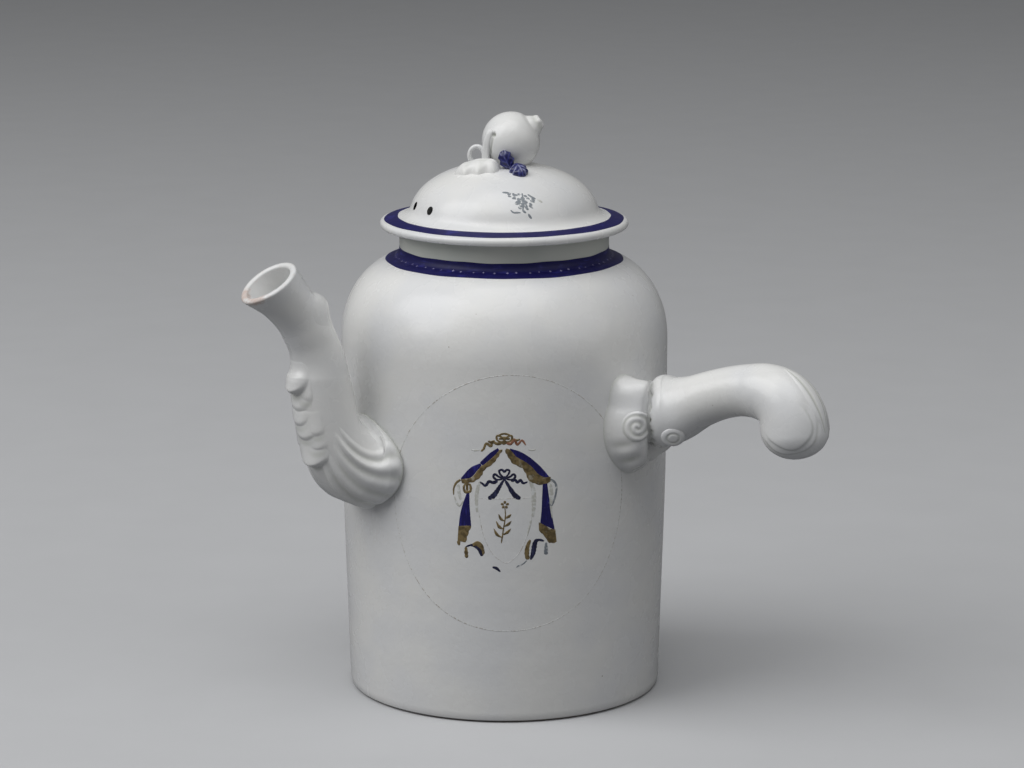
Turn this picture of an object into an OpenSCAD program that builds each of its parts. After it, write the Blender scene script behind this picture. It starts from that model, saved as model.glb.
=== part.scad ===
// Chocolate pot in glazed porcelain: an upright body with a domed shoulder, a
// moulded spout, a stick handle set off to one side, and a loose lid with a
// fruit for its knob. Millimetres, +Z up, origin at the middle of the foot.
// The spout points along -X. Angles are counted anticlockwise from +X.

/* [Body] */
// Radius of the body at the foot
base_r = 64; // [52:0.5:80]
// How much wider the body is below the shoulder than at the foot
belly_swell = 2.8; // [0:0.1:6]
// Height of the upright wall, floor to shoulder
wall_h = 145; // [115:1:190]
// Height that the shoulder's curve rises
shoulder_h = 34; // [26:1:44]
// How far the shoulder's curve runs on under the neck
shoulder_tuck = 4; // [1:0.5:8]
// Thickness of the thrown wall
wall_t = 4; // [3:0.1:5.5]
// Thickness of the pot's floor
floor_t = 5; // [3.5:0.1:8]
// Depth of the recess inside the foot ring
foot_h = 2.5; // [1.5:0.1:5]
// Width of the foot ring
foot_w = 7; // [4:0.5:12]
// How far the foot ring's lower edge is trimmed in
foot_trim = 1.6; // [0.5:0.1:3]

/* [Neck] */
// Outer radius of the neck
neck_r = 42.7; // [34:0.1:50]
// Thickness of the neck
neck_t = 4.2; // [3:0.1:6]
// Height of the neck above the shoulder
neck_h = 11; // [7:0.5:20]
// Roundness of the neck's rim
neck_rim_r = 1.2; // [0.4:0.1:2]

/* [Spout] */
// Direction of the spout
spout_angle = 180; // [170:1:190]
// How far the spout's root lies below the shoulder
spout_drop = 44; // [34:1:60]
// How far the spout's waist stands out from the body
spout_waist_out = 20.5; // [18:0.5:30]
// How far the mouth stands out from the body
spout_reach = 42.5; // [36:0.5:60]
// How far the mouth is above the root
spout_rise = 76.5; // [66:0.5:96]
// Half the height of the spout's root
spout_root_r = 19.5; // [15:0.5:23]
// Half the width of the spout's root
spout_root_side = 22; // [17:0.5:26]
// Outer radius at the mouth
spout_mouth_r = 11; // [9:0.1:14]
// Thickness of the pressed clay of the spout
spout_t = 2.8; // [2:0.1:3.4]
// Radius of the hole that lets the drink into the spout
pour_hole_r = 8; // [5:0.5:11]
// Number of flutes on each side of the spout's root
flutes = 5; // [3:1:6]
// Thickness of a flute
flute_r = 1.9; // [1.2:0.1:2.6]

/* [Handle] */
// Direction of the handle
handle_angle = 292; // [270:1:300]
// How far the handle's root lies below the shoulder
handle_drop = 27.5; // [24:0.5:50]
// Radius of the flared root
handle_root_r = 20.5; // [15:0.5:23]
// Distance from the body to the crest of the handle
handle_crest_out = 55; // [45:1:75]
// How far the crest is above the root
handle_crest_up = 19; // [12:0.5:26]
// Radius of the shaft
handle_r = 10.2; // [8:0.1:12]
// Radius of the groove between root and ferrule
groove_r = 11.3; // [9:0.1:13]
// How far the groove stands out from the body
groove_out = 5.5; // [4:0.5:9]
// How far the groove is above the middle of the root
groove_up = 4.7; // [2:0.1:7]
// Radius of the ferrule
ferrule_r = 14; // [12.5:0.1:16]
// Width of the ferrule
ferrule_w = 8.4; // [5:0.1:11]
// Radius of the down-turned knob
terminal_r = 13.6; // [11:0.1:16]

/* [Lid] */
// Turn of the lid, as it was put down
lid_turn = 0; // [-30:1:30]
// How far the flange stands out past the neck
flange_over = 7.7; // [4:0.1:12]
// Thickness of the flange
flange_t = 4.6; // [3.5:0.1:6]
// How far the dome is set in from the outside of the neck
dome_set_in = 4.3; // [2:0.1:8]
// Height of the dome above the flange
dome_h = 21.6; // [14:0.1:32]
// Thickness of the dome
dome_t = 4; // [3:0.1:5]
// How far the locating ring reaches down into the neck
locating_h = 8; // [5:0.5:12]
// Thickness of the locating ring
locating_t = 3.5; // [2.5:0.1:4.5]
// Radial play of the locating ring in the neck
locating_play = 0.8; // [0.4:0.1:1.5]
// Gap at which the flange rides over the rim
seat_gap = 0.2; // [0.1:0.05:0.4]
// Height of the vent holes above the flange
vent_up = 5.4; // [4.5:0.1:9]
// Diameter of a vent hole
vent_d = 3.5; // [2:0.1:5]
// Angle between the two vent holes
vent_spread = 21; // [14:1:40]

/* [Finial] */
// Radius of the fruit
fruit_r = 12.2; // [9:0.1:15]
// How far the fruit is sunk into the dome
fruit_sink = 3.5; // [2:0.1:5]
// Radius of the calyx
calyx_r = 2.6; // [1.8:0.1:3.5]
// Thickness of the stalk at its foot
stalk_d = 5; // [3:0.1:7]
// Thickness of the twig
twig_d = 1.9; // [1.4:0.1:2.6]

/* [Hidden] */

$fn = 96;
glaze = "#e6e7e6";
glaze_grey = "#c9ccc2";
bare_clay = "#d9cdbb";
cobalt = "#2c3b86";

// Luted parts are pressed this far into each other
lute = 0.3;
spout_z = wall_h - spout_drop;
handle_z = wall_h - handle_drop;
belly_r = base_r + belly_swell;
flange_r = neck_r + flange_over;
dome_r = neck_r - dome_set_in;
shoulder_run = belly_r - neck_r + shoulder_tuck;
shoulder_centre_r = belly_r - shoulder_run;
shoulder_end = acos((neck_r - shoulder_centre_r) / shoulder_run);
neck_z = wall_h + shoulder_h * sin(shoulder_end);
rim_z = neck_z + neck_h;
lid_z = rim_z + seat_gap;
dome_z = lid_z + flange_t;
locating_r = neck_r - neck_t - locating_play;
locating_bore_r = locating_r - locating_t;
// Bevel that leads the locating ring into the neck
locating_bevel = 1.2;
// Edge radius of the flange
flange_edge = flange_t * 0.42;
// Radius of the hollow curve between flange and dome
cove = 4.6;
// Turn of the finial: its broad side faces between spout and handle
finial_angle = -33;
// Vents face the spout, a little to one side of it
vent_angle = 174;

// Point at t on the Bezier curve with these control values
function bez(c, t) = len(c) == 1 ? c[0]
    : bez([for (i = [0:len(c) - 2]) c[i] * (1 - t) + c[i + 1] * t], t);
// Radius of the body's outside at a height
function body_r(z) = base_r + belly_swell * sin(90 * min(z, wall_h) / wall_h);
// Radius of the lid's dome at a height above the flange; dome_power squares it up
dome_power = 2.1;
function dome_out(r, h, z) = r * pow(1 - pow(min(z / h, 1), dome_power), 1 / dome_power);
// Height of the dome's outside above the flange at a radius
function dome_up(r) = dome_h * pow(1 - pow(min(r / dome_r, 1), dome_power), 1 / dome_power);

// Closed skin over a list of rings, each with the same number of points
module skin(rings) {
    n = len(rings[0]);
    m = len(rings);
    mid = function(r) [for (a = [0:2]) [for (p = r) p[a]] * [for (p = r) 1 / n]];
    sides = [for (i = [0:m - 2], j = [0:n - 1]) let (a = i * n + j, b = i * n + (j + 1) % n)
        each [[a, a + n, b], [b, a + n, b + n]]];
    first = [for (j = [0:n - 1]) [m * n, j, (j + 1) % n]];
    last = [for (j = [0:n - 1]) [m * n + 1, (m - 1) * n + (j + 1) % n, (m - 1) * n + j]];
    polyhedron(concat([for (r = rings) each r], [mid(rings[0]), mid(rings[m - 1])]),
        concat(sides, first, last));
}

// Closed skin over C-shaped rings, whose first half is the outer edge
module shell_skin(rings) {
    n = len(rings[0]);
    m = len(rings);
    sides = [for (i = [0:m - 2], j = [0:n - 1]) let (a = i * n + j, b = i * n + (j + 1) % n)
        each [[a, a + n, b], [b, a + n, b + n]]];
    steps = [0:n / 2 - 2];
    first = [for (j = steps) each [[j, j + 1, n - 1 - j], [j + 1, n - 2 - j, n - 1 - j]]];
    last = [for (j = steps) let (k = (m - 1) * n)
        each [[k + j, k + n - 1 - j, k + j + 1], [k + j + 1, k + n - 1 - j, k + n - 2 - j]]];
    polyhedron([for (r = rings) each r], concat(sides, first, last));
}

// Tube through 3D points with a radius at each, 8 sides by default
module tube(path, radii, sides = 8) {
    last = len(path) - 1;
    rings = [for (i = [0:last])
        let (t = path[min(i + 1, last)] - path[max(i - 1, 0)], d = t / norm(t),
            s = cross(d, abs(d[2]) > 0.95 ? [1, 0, 0] : [0, 0, 1]), u = s / norm(s), v = cross(d, u))
        [for (k = [0:sides - 1]) let (a = -360 * k / sides)
            path[i] + radii[i] * (u * cos(a) + v * sin(a))]];
    skin(rings);
}

// Body: thrown in rings and luted together

module foot_ring() {
    color(bare_clay)
    rotate_extrude()
    polygon([[base_r - foot_w, 0], [base_r - foot_trim, 0], [base_r - foot_trim * 0.45, foot_h * 0.35],
        [base_r - foot_trim * 0.12, foot_h * 0.8], [base_r - foot_trim * 0.1, foot_h],
        [base_r - foot_w - foot_h * 0.4, foot_h]]);
}

module base_disc() {
    color(glaze)
    translate([0, 0, foot_h])
    cylinder(h = floor_t, r1 = body_r(foot_h), r2 = body_r(foot_h + floor_t));
}

module body_wall() {
    steps = 12;
    low = foot_h + floor_t;
    color(glaze)
    difference() {
        rotate_extrude()
        polygon(concat(
            [for (i = [0:steps]) let (z = low + (wall_h - low) * i / steps) [body_r(z), z]],
            [for (i = [steps:-1:0]) let (z = low + (wall_h - low) * i / steps) [body_r(z) - wall_t, z]]));
        rotate([0, 0, spout_angle])
        translate([base_r / 2, 0, spout_z])
        rotate([0, 90, 0])
        cylinder(h = base_r, r = pour_hole_r);
    }
}

module shoulder() {
    steps = 14;
    run_in = shoulder_run - wall_t;
    bore_r = neck_r - neck_t;
    end_in = acos((bore_r - shoulder_centre_r) / run_in);
    color(glaze)
    rotate_extrude()
    polygon(concat(
        [for (i = [0:steps]) let (a = shoulder_end * i / steps)
            [shoulder_centre_r + shoulder_run * cos(a), wall_h + shoulder_h * sin(a)]],
        [[bore_r, neck_z]],
        [for (i = [steps:-1:0]) let (a = end_in * i / steps)
            [shoulder_centre_r + run_in * cos(a), wall_h + (shoulder_h - wall_t) * sin(a)]]));
}

module neck() {
    color(glaze_grey)
    rotate_extrude()
    union() {
        translate([neck_r - neck_t, neck_z])
        square([neck_t, neck_h - neck_rim_r]);
        translate([neck_r - neck_t + neck_rim_r, rim_z - neck_rim_r])
        square([neck_t - 2 * neck_rim_r, neck_rim_r]);
        for (r = [neck_r - neck_t + neck_rim_r, neck_r - neck_rim_r])
        translate([r, rim_z - neck_rim_r])
        circle(r = neck_rim_r, $fn = 24);
    }
}

// Spout: two pressed halves. Its own frame has X outwards and Z up from the root

spout_waist_up = spout_rise * 0.49;
spout_low = [[0, 0], [spout_waist_out * 0.5, 0], [spout_waist_out * 0.87, spout_waist_up * 0.4],
    [spout_waist_out, spout_waist_up]];
spout_high = [[spout_waist_out, spout_waist_up], [spout_waist_out, spout_rise * 0.655],
    [(spout_waist_out + spout_reach) * 0.46, spout_rise * 0.83], [spout_reach, spout_rise]];
spout_girth = [spout_root_r, spout_root_r * 0.54, spout_root_r * 0.8, spout_mouth_r * 0.45, spout_mouth_r];
spout_width = concat(spout_root_side, [for (i = [1:4]) spout_girth[i]]);
// The mouth is trimmed flatter than square to the spout
mouth_trim = 8;

// Middle of the spout at s, from 0 at the root to 1 at the mouth
function spout_mid(s) = let (p = s < 0.5 ? bez(spout_low, 2 * s) : bez(spout_high, 2 * s - 1))
    [body_r(spout_z) + p[0], spout_z + p[1]];
function spout_lean(s) = let (d = spout_mid(min(s + 0.01, 1)) - spout_mid(max(s - 0.01, 0)))
    atan2(d[1], d[0]);
// Point of the spout's skin: a is 0 on its upper, inner side and 180 below or outside
function spout_point(s, a, inset = 0) =
    let (c = spout_mid(s), lean = spout_lean(s) * min(1, s * 12) + mouth_trim * pow(s, 6),
        u = (bez(spout_girth, s) - inset) * cos(a), v = (bez(spout_width, s) - inset) * sin(a),
        z = c[1] + u * cos(lean), x = c[0] - u * sin(lean),
        wall_x = sqrt(pow(body_r(z), 2) - v * v) - lute)
    [s == 0 ? wall_x : max(x, wall_x), v, z];

module spout_half(side) {
    arc = 12;
    stages = 28;
    rings = [for (i = [0:stages]) let (s = i / stages) concat(
        [for (k = [0:arc]) spout_point(s, 180 * k / arc)],
        [for (k = [arc:-1:0]) spout_point(s, 180 * k / arc, spout_t)])];
    color(glaze)
    rotate([0, 0, spout_angle])
    mirror([0, side < 0 ? 1 : 0, 0])
    shell_skin(rings);
}

// Flutes of the moulded leafage, which sweep from the outside of the spout to its root.
// The angle between neighbours follows their thickness and the spout's girth
module spout_flutes(side) {
    links = 11;
    pitch = flute_r / spout_root_r;
    low_step = 269 * pitch;
    high_step = 113 * pitch;
    color(glaze)
    rotate([0, 0, spout_angle])
    mirror([0, side < 0 ? 1 : 0, 0])
    for (i = [0:flutes - 1]) {
        low_a = 165 - low_step * i;
        high_a = 150 - high_step * i;
        tube([for (k = [0:links]) let (f = k / links)
                spout_point(0.04 + (0.3 + 0.025 * i) * f, low_a + (high_a - low_a) * f, 0.25 * flute_r)],
            [for (k = [0:links]) flute_r * (0.25 + 0.75 * pow(sin(180 * (0.08 + 0.84 * k / links)), 0.6))]);
    }
}

// Tip of a leaf that curls away from the spout at s and hangs over by drop
module leaf_tip(s, a, out, wide, drop) {
    root = spout_point(s, a, 1.2);
    color(glaze)
    rotate([0, 0, spout_angle])
    translate(root)
    skin([for (i = [0:6]) let (f = i / 6, w = wide / 2 * (1 - 0.72 * f * f), h = drop / 2 * (1 - 0.7 * f))
        [for (k = [0:9]) let (b = 36 * k)
            [(out + 1.2) * f, w * sin(b), h * cos(b) - drop * 0.35 * f * f]]]);
}

module spout_upper_leaf_tip() {
    leaf_tip(0.5, 180, 2.6, 10, 7);
}

module spout_lower_leaf_tip() {
    leaf_tip(0.24, 168, 2.6, 13, 9);
}

// Leaf along the inner side of the spout, with its tip standing off it
module spout_back_leaf() {
    steps = 10;
    color(glaze)
    rotate([0, 0, spout_angle])
    skin([for (i = [0:steps]) let (f = i / steps, s = 0.36 + 0.38 * f,
            p = spout_point(s, 0, 1), lean = spout_lean(s),
            w = 1 + 5.2 * sin(180 * pow(f, 0.8)), h = 1.5 + 1.4 * pow(f, 3), up = 2.2 * pow(f, 4))
        [for (k = [0:9]) let (b = 36 * k, u = h * cos(b) + up)
            [p[0] - u * sin(lean), w * sin(b), p[2] + u * cos(lean)]]]);
}

// Handle: X runs outwards from the body, Z up

// The groove's and the shaft's starting points, counted from the body's skin and the root's middle
groove_at = [groove_out, groove_up];
// How much the ferrule climbs for each millimetre outwards
ferrule_slope = 0.2;
shaft_at = groove_at + ferrule_w * [1, ferrule_slope];
handle_low = [shaft_at, shaft_at + 9 * [1, ferrule_slope], [handle_crest_out - 18, handle_crest_up],
    [handle_crest_out, handle_crest_up]];
handle_high = [[handle_crest_out, handle_crest_up], [handle_crest_out + 12, handle_crest_up],
    [handle_crest_out + 15, handle_crest_up - 8], [handle_crest_out + 15.5, handle_crest_up - 14]];
ferrule_face_r = ferrule_r * 0.9;
crest_r = handle_r * 1.08;
handle_girth = [ferrule_face_r, handle_r * 1.06, handle_r * 0.88, crest_r];
skin_x = body_r(handle_z);

function handle_mid(s) = let (p = s < 0.5 ? bez(handle_low, 2 * s) : bez(handle_high, 2 * s - 1))
    [skin_x + p[0], handle_z + p[1]];
function handle_lean(s) = let (d = handle_mid(min(s + 0.01, 1)) - handle_mid(max(s - 0.01, 0)))
    atan2(d[1], d[0]);
// Ring across a path that leans up by an angle: r is half its height, side_r half its width
function upright_ring(x, z, r, lean, sides, side_r) = [for (k = [0:sides - 1]) let (a = 360 * k / sides)
    [x - r * cos(a) * sin(lean), side_r * sin(a), z + r * cos(a) * cos(lean)]];
// Half the height of the knob at s, from 0.5 at the crest to 1 at its end
function terminal_girth(s) = crest_r + (terminal_r - crest_r) * (1 - pow(2 - 2 * s, 2));

// Flared root, which follows the body's curve on its back
module handle_root() {
    // Share of the way out to the groove, and of the way from its radius to the full one
    outline = [[0, 1], [0.22, 0.97], [0.45, 0.87], [0.66, 0.69], [0.82, 0.44], [0.93, 0.2], [1, 0]];
    bulge = 1.6;
    sides = 36;
    back = [for (r = [0.1, 0.45, 0.75, 0.99] * handle_root_r) [for (k = [0:sides - 1])
        let (a = 360 * k / sides, y = r * sin(a), z = handle_z + r * cos(a))
        [sqrt(pow(body_r(z), 2) - y * y) - lute, y, z]]];
    rings = [for (o = outline) [for (k = [0:sides - 1]) let (a = 360 * k / sides,
            r = groove_r + (handle_root_r - groove_r) * o[1],
            y = r * sin(a), z = handle_z + groove_up * pow(o[0], 2) + r * cos(a),
            foot = sqrt(pow(body_r(z), 2) - y * y), face = skin_x + groove_out)
        [foot + (face - foot) * o[0] + bulge * sin(180 * o[0]), y, z]]];
    color(glaze)
    rotate([0, 0, handle_angle])
    skin(concat(back, rings));
}

// Scroll of the moulded shell under the root
module handle_root_scroll() {
    steps = 16;
    turn = 300;
    outer_r = 5.2;
    inner_r = 1.6;
    color(glaze)
    rotate([0, 0, handle_angle])
    for (side = [-1, 1])
    tube([for (i = [0:steps]) let (f = i / steps, a = -90 + turn * f, r = outer_r + (inner_r - outer_r) * f)
            [skin_x + 0.7 * groove_out - 2.4 * pow(1 - f, 3), side * (groove_r - 1.8 + r * cos(a)),
                handle_z - 6 + r * sin(a)]],
        [for (i = [0:steps]) 1.1 - 0.35 * i / steps]);
}

module handle_ferrule() {
    // Share of the ferrule's width, and half height there
    bead = [[0, groove_r], [0.1, ferrule_r * 0.88], [0.26, ferrule_r * 0.97], [0.5, ferrule_r],
        [0.71, ferrule_r * 0.98], [0.9, ferrule_r * 0.93], [1, ferrule_face_r]];
    lean = atan(ferrule_slope);
    color(glaze)
    rotate([0, 0, handle_angle])
    skin([for (b = bead) let (c = groove_at + (shaft_at - groove_at) * b[0])
        upright_ring(skin_x + c[0], handle_z + c[1], b[1], lean * b[0], 32, b[1] * 0.96)]);
}

// Curled leaf tip that hangs under the ferrule
module handle_ferrule_leaf() {
    x = skin_x + groove_out;
    z = handle_z + groove_up - ferrule_r;
    steps = 9;
    color(glaze)
    rotate([0, 0, handle_angle])
    skin([for (i = [0:steps]) let (f = i / steps, w = 5.5 * sqrt(sin(180 * (0.12 + 0.76 * f))),
            h = 2.4 * sqrt(sin(180 * (0.12 + 0.76 * f))))
        upright_ring(x + 1 + 1.55 * ferrule_w * f, z + 1.4 + 3.6 * f * f, h, 20 * f, 12, w)]);
}

module handle_shaft() {
    stages = 18;
    color(glaze)
    rotate([0, 0, handle_angle])
    skin([for (i = [0:stages]) let (s = 0.5 * i / stages, c = handle_mid(s), r = bez(handle_girth, 2 * s))
        upright_ring(c[0], c[1], r, handle_lean(s), 28, r * 0.96)]);
}

// Down-turned knob with a rounded, slightly flattened end
module handle_terminal() {
    stages = 12;
    cap = 6;
    cap_depth = 0.8 * terminal_r;
    end = handle_mid(1);
    lean = handle_lean(1);
    rings = [for (i = [0:stages]) let (s = 0.5 + 0.5 * i / stages, c = handle_mid(s), r = terminal_girth(s))
        upright_ring(c[0], c[1], r, handle_lean(s), 28, r * 0.98)];
    round_end = [for (i = [1:cap]) let (a = 84 * i / cap, r = terminal_r * cos(a), d = cap_depth * sin(a))
        upright_ring(end[0] + d * cos(lean), end[1] + d * sin(lean), r, lean, 28, r * 0.98)];
    color(glaze)
    rotate([0, 0, handle_angle])
    skin(concat(rings, round_end));
}

// Leaf ridge laid over the outside of the knob
module handle_terminal_leaf() {
    steps = 14;
    color(glaze)
    rotate([0, 0, handle_angle])
    skin([for (i = [0:steps])
        let (f = i / steps, s = 0.56 + 0.44 * f, c = handle_mid(s), lean = handle_lean(s),
            w = 0.8 + 4.4 * sin(180 * pow(f, 0.8)), h = 1.3, u = terminal_girth(s) - 0.3 * h)
        upright_ring(c[0] - u * sin(lean), c[1] + u * cos(lean), h, lean, 12, w)]);
}

// Lid

module lid_flange() {
    color(glaze)
    translate([0, 0, lid_z])
    rotate_extrude()
    union() {
        polygon([[locating_bore_r, 0], [flange_r - flange_edge, 0],
            [flange_r - flange_edge, 2 * flange_edge], [dome_r + 1.2 * cove, flange_t],
            [locating_bore_r, flange_t]]);
        translate([flange_r - flange_edge, flange_edge])
        circle(r = flange_edge, $fn = 32);
    }
}

module lid_dome() {
    steps = 16;
    in_r = dome_r - dome_t;
    in_h = dome_h - dome_t;
    color(glaze)
    difference() {
        translate([0, 0, dome_z])
        rotate_extrude()
        polygon(concat(
            [[locating_bore_r, 0], [dome_r + cove, 0]],
            [for (a = [75:-15:15]) [dome_r + cove - cove * cos(a), cove - cove * sin(a)]],
            [for (i = [0:steps]) let (z = cove + (dome_h - cove) * sin(90 * i / steps))
                [dome_out(dome_r, dome_h, z), z]],
            [for (i = [steps:-1:0]) let (z = in_h * sin(90 * i / steps))
                [min(locating_bore_r, dome_out(in_r, in_h, z)), z]]));
        for (side = [-1, 1])
        rotate([0, 0, vent_angle + lid_turn + side * vent_spread / 2])
        translate([dome_out(dome_r, dome_h, vent_up), 0, dome_z + vent_up])
        rotate([0, 78, 0])
        cylinder(h = 5 * dome_t, d = vent_d, center = true, $fn = 48);
    }
}

module lid_locating_ring() {
    color(glaze_grey)
    translate([0, 0, lid_z - locating_h])
    rotate_extrude()
    polygon([[locating_bore_r, 0], [locating_r - locating_bevel, 0], [locating_r, locating_bevel],
        [locating_r, locating_h], [locating_bore_r, locating_h]]);
}

// Finial: its own frame has the fruit's calyx on the +X side, and -Y at the front

fruit_at = [2.8, 0, dome_z + dome_h + fruit_r - fruit_sink];
calyx_lean = 60;

module in_finial() {
    rotate([0, 0, finial_angle + lid_turn])
    children();
}

// Solid that fills the dome, which finial parts are cut to
module dome_fill() {
    steps = 16;
    translate([0, 0, dome_z])
    rotate_extrude()
    polygon(concat([[0, 0]],
        [for (i = [0:steps]) let (z = dome_h * sin(90 * i / steps)) [dome_out(dome_r, dome_h, z), z]]));
}

module finial_fruit() {
    color(glaze)
    difference() {
        in_finial()
        translate(fruit_at)
        sphere(r = fruit_r);
        dome_fill();
    }
}

module finial_calyx() {
    color(glaze)
    in_finial()
    difference() {
        translate(fruit_at)
        rotate([0, calyx_lean, 0])
        translate([0, 0, fruit_r - 1])
        rotate_extrude($fn = 48)
        polygon([[0, 0], [calyx_r * 1.5, 0], [calyx_r * 1.15, 1.2], [calyx_r, 2.2], [calyx_r * 0.92, 3],
            [calyx_r * 0.7, 3.5], [calyx_r * 0.35, 3.3], [0, 2.9]]);
        translate(fruit_at)
        sphere(r = fruit_r);
    }
}

// Height of the dome's skin under a point of the finial
function on_dome(p) = dome_z + dome_up(norm(p));

module finial_stalk() {
    steps = 9;
    foot = [-1.1, -0.57] * fruit_r;
    path = [[foot[0], foot[1], on_dome(foot) + 0.6], fruit_at + [-1.25, -0.66, -0.5] * fruit_r,
        fruit_at + [-1.08, -0.69, -0.08] * fruit_r, fruit_at + [-0.76, -0.7, 0.42] * fruit_r];
    color(glaze)
    in_finial()
    tube([for (i = [0:steps]) bez(path, i / steps)],
        [for (i = [0:steps]) stalk_d / 2 * (1 - 0.45 * i / steps)], 10);
}

module finial_twig() {
    steps = 14;
    loop_r = 0.295 * fruit_r;
    foot = [-1.27, -0.25] * fruit_r;
    color(glaze)
    in_finial()
    tube([for (i = [0:steps]) let (a = -130 + 250 * i / steps)
            [foot[0] + 1.5 + loop_r * sin(a) * 0.8, foot[1] - 0.1 * i,
                on_dome(foot) + 2.6 + loop_r * cos(a)]],
        [for (i = [0:steps]) twig_d / 2]);
}

// Leaf that lies on the dome along a line from its root to its tip
module dome_leaf(root, tip, wide, thick, waves) {
    steps = 12;
    along = (tip - root) / norm(tip - root);
    across = [-along[1], along[0]];
    skin([for (i = [0:steps]) let (f = i / steps, p = root + (tip - root) * f,
            outline = 0.35 + 0.65 * sin(180 * pow(0.08 + 0.84 * f, 0.85)),
            w = wide / 2 * outline * (1 + 0.14 * sin(360 * waves * f)))
        [for (k = [0:11]) let (b = 30 * k, q = p + across * w * cos(b))
            [q[0], q[1], on_dome(q) + thick * (0.42 + 0.5 * sin(b))]]]);
}

module finial_white_leaf() {
    color(glaze)
    in_finial()
    dome_leaf([-0.16, -1.11] * fruit_r, [-1.6, -0.74] * fruit_r, 0.74 * fruit_r, 0.34 * fruit_r, 3);
}

module finial_blue_leaf() {
    color(cobalt)
    in_finial()
    dome_leaf([0.18, -0.9] * fruit_r, [0.57, -1.76] * fruit_r, 0.7 * fruit_r, 0.3 * fruit_r, 2);
}

foot_ring();
base_disc();
body_wall();
shoulder();
neck();
spout_half(1);  // spout_half_near
spout_half(-1);  // spout_half_far
spout_flutes(1);  // spout_flutes_near
spout_flutes(-1);  // spout_flutes_far
spout_upper_leaf_tip();
spout_lower_leaf_tip();
spout_back_leaf();
handle_root();
handle_root_scroll();
handle_ferrule();
handle_ferrule_leaf();
handle_shaft();
handle_terminal();
handle_terminal_leaf();
lid_flange();
lid_dome();
lid_locating_ring();
finial_fruit();
finial_calyx();
finial_stalk();
finial_twig();
finial_white_leaf();
finial_blue_leaf();
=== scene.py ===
"""Looks of a porcelain chocolate pot, built around its packed construction model.

The pot has an upright body with a domed shoulder, a moulded spout, a stick
handle and a loose lid with a fruit for its knob. Sizes are in millimetres in
the part's own frame and become metres when a mesh is made.
"""

import logging
import math
from dataclasses import dataclass, field, replace
from enum import Enum
from typing import Callable, Sequence

import bmesh
import bpy
import numpy as np
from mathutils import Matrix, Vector


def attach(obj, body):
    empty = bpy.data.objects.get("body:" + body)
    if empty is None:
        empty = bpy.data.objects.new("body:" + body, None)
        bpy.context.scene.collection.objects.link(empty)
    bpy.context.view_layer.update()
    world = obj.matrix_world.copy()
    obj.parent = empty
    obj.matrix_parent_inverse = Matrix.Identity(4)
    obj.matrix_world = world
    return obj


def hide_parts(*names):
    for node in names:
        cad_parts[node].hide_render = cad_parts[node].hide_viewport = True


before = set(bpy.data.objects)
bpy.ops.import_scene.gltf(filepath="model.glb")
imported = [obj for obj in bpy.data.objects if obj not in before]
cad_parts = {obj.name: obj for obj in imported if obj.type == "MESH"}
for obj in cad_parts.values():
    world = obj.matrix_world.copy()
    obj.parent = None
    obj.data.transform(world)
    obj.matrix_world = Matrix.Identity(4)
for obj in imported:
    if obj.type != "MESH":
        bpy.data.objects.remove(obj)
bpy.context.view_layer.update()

Array = np.ndarray
Points2 = Sequence[tuple[float, float]]
log = logging.getLogger("pot")

MM = 0.001
POT, LID = "pot", "lid"
BLUE_SLOT = "blue_painted_glaze"
CREASE, PAINT_CREASE = 42.0, 80.0
PAINT_DEPTH = 0.12
EYE_FRONT, EYE_SIDE = 0.82, 0.573


# Curves and small functions

def ease(t: Array) -> Array:
    """Rise smoothly from 0 to 1 while t goes from 0 to 1."""
    t = np.clip(t, 0.0, 1.0)
    return t * t * (3.0 - 2.0 * t)


def bell(t: Array) -> Array:
    """Smooth hump that is 1 at 0 and 0 from -1 and 1 outwards."""
    return np.cos(np.pi / 2 * np.clip(np.abs(t), 0.0, 1.0)) ** 2


def bezier(control: Sequence, t: Array) -> Array:
    """Points of a Bezier curve.

    Args:
        control: Control values, numbers or points.
        t: Places on the curve, from 0 to 1.

    Returns:
        One value or point for each t.
    """
    rows = [np.asarray(c, float) for c in control]
    t = np.asarray(t, float)
    if rows[0].ndim:
        t = t[..., None]
    while len(rows) > 1:
        rows = [a * (1 - t) + b * t for a, b in zip(rows[:-1], rows[1:])]
    return rows[0] + 0 * t


def through(points: Sequence, count: int) -> Array:
    """Smooth open curve through points.

    Args:
        points: Points that the curve passes.
        count: How many points to return.

    Returns:
        Array of count points.
    """
    p = np.asarray(points, float)
    if p.ndim == 1:
        p = p[:, None]
    if len(p) < 3:
        t = np.linspace(0, 1, count)[:, None]
        return p[0] * (1 - t) + p[-1] * t
    p = np.vstack([2 * p[0] - p[1], p, 2 * p[-1] - p[-2]])
    place = np.linspace(0, len(p) - 3 - 1e-9, count)
    i = place.astype(int)
    f = (place - i)[:, None]
    a, b, c, d = p[i], p[i + 1], p[i + 2], p[i + 3]
    return 0.5 * (2 * b + (c - a) * f + (2 * a - 5 * b + 4 * c - d) * f**2 + (3 * b - a - 3 * c + d) * f**3)


def unit(vectors: Array) -> Array:
    """Vectors scaled to length 1."""
    return vectors / np.maximum(np.linalg.norm(vectors, axis=-1, keepdims=True), 1e-9)


def polar(r: Array | float, a: Array, z: Array | float = 0.0) -> Array:
    """Points at a radius, an angle in radians and a height."""
    return np.stack(np.broadcast_arrays(r * np.cos(a), r * np.sin(a), z + 0 * a), -1)


def turned(points: Array, angle: float) -> Array:
    """Points turned about the upright axis by an angle in degrees."""
    c, s = math.cos(math.radians(angle)), math.sin(math.radians(angle))
    x, y, z = points[..., 0], points[..., 1], points[..., 2]
    return np.stack([c * x - s * y, s * x + c * y, z], -1)


def grid(rows: tuple[float, float, int], cols: tuple[float, float, int]) -> list[Array]:
    """Values along the rows and the columns of a grid, each range as start, end and count."""
    return np.meshgrid(np.linspace(*rows), np.linspace(*cols), indexing="ij")


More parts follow.
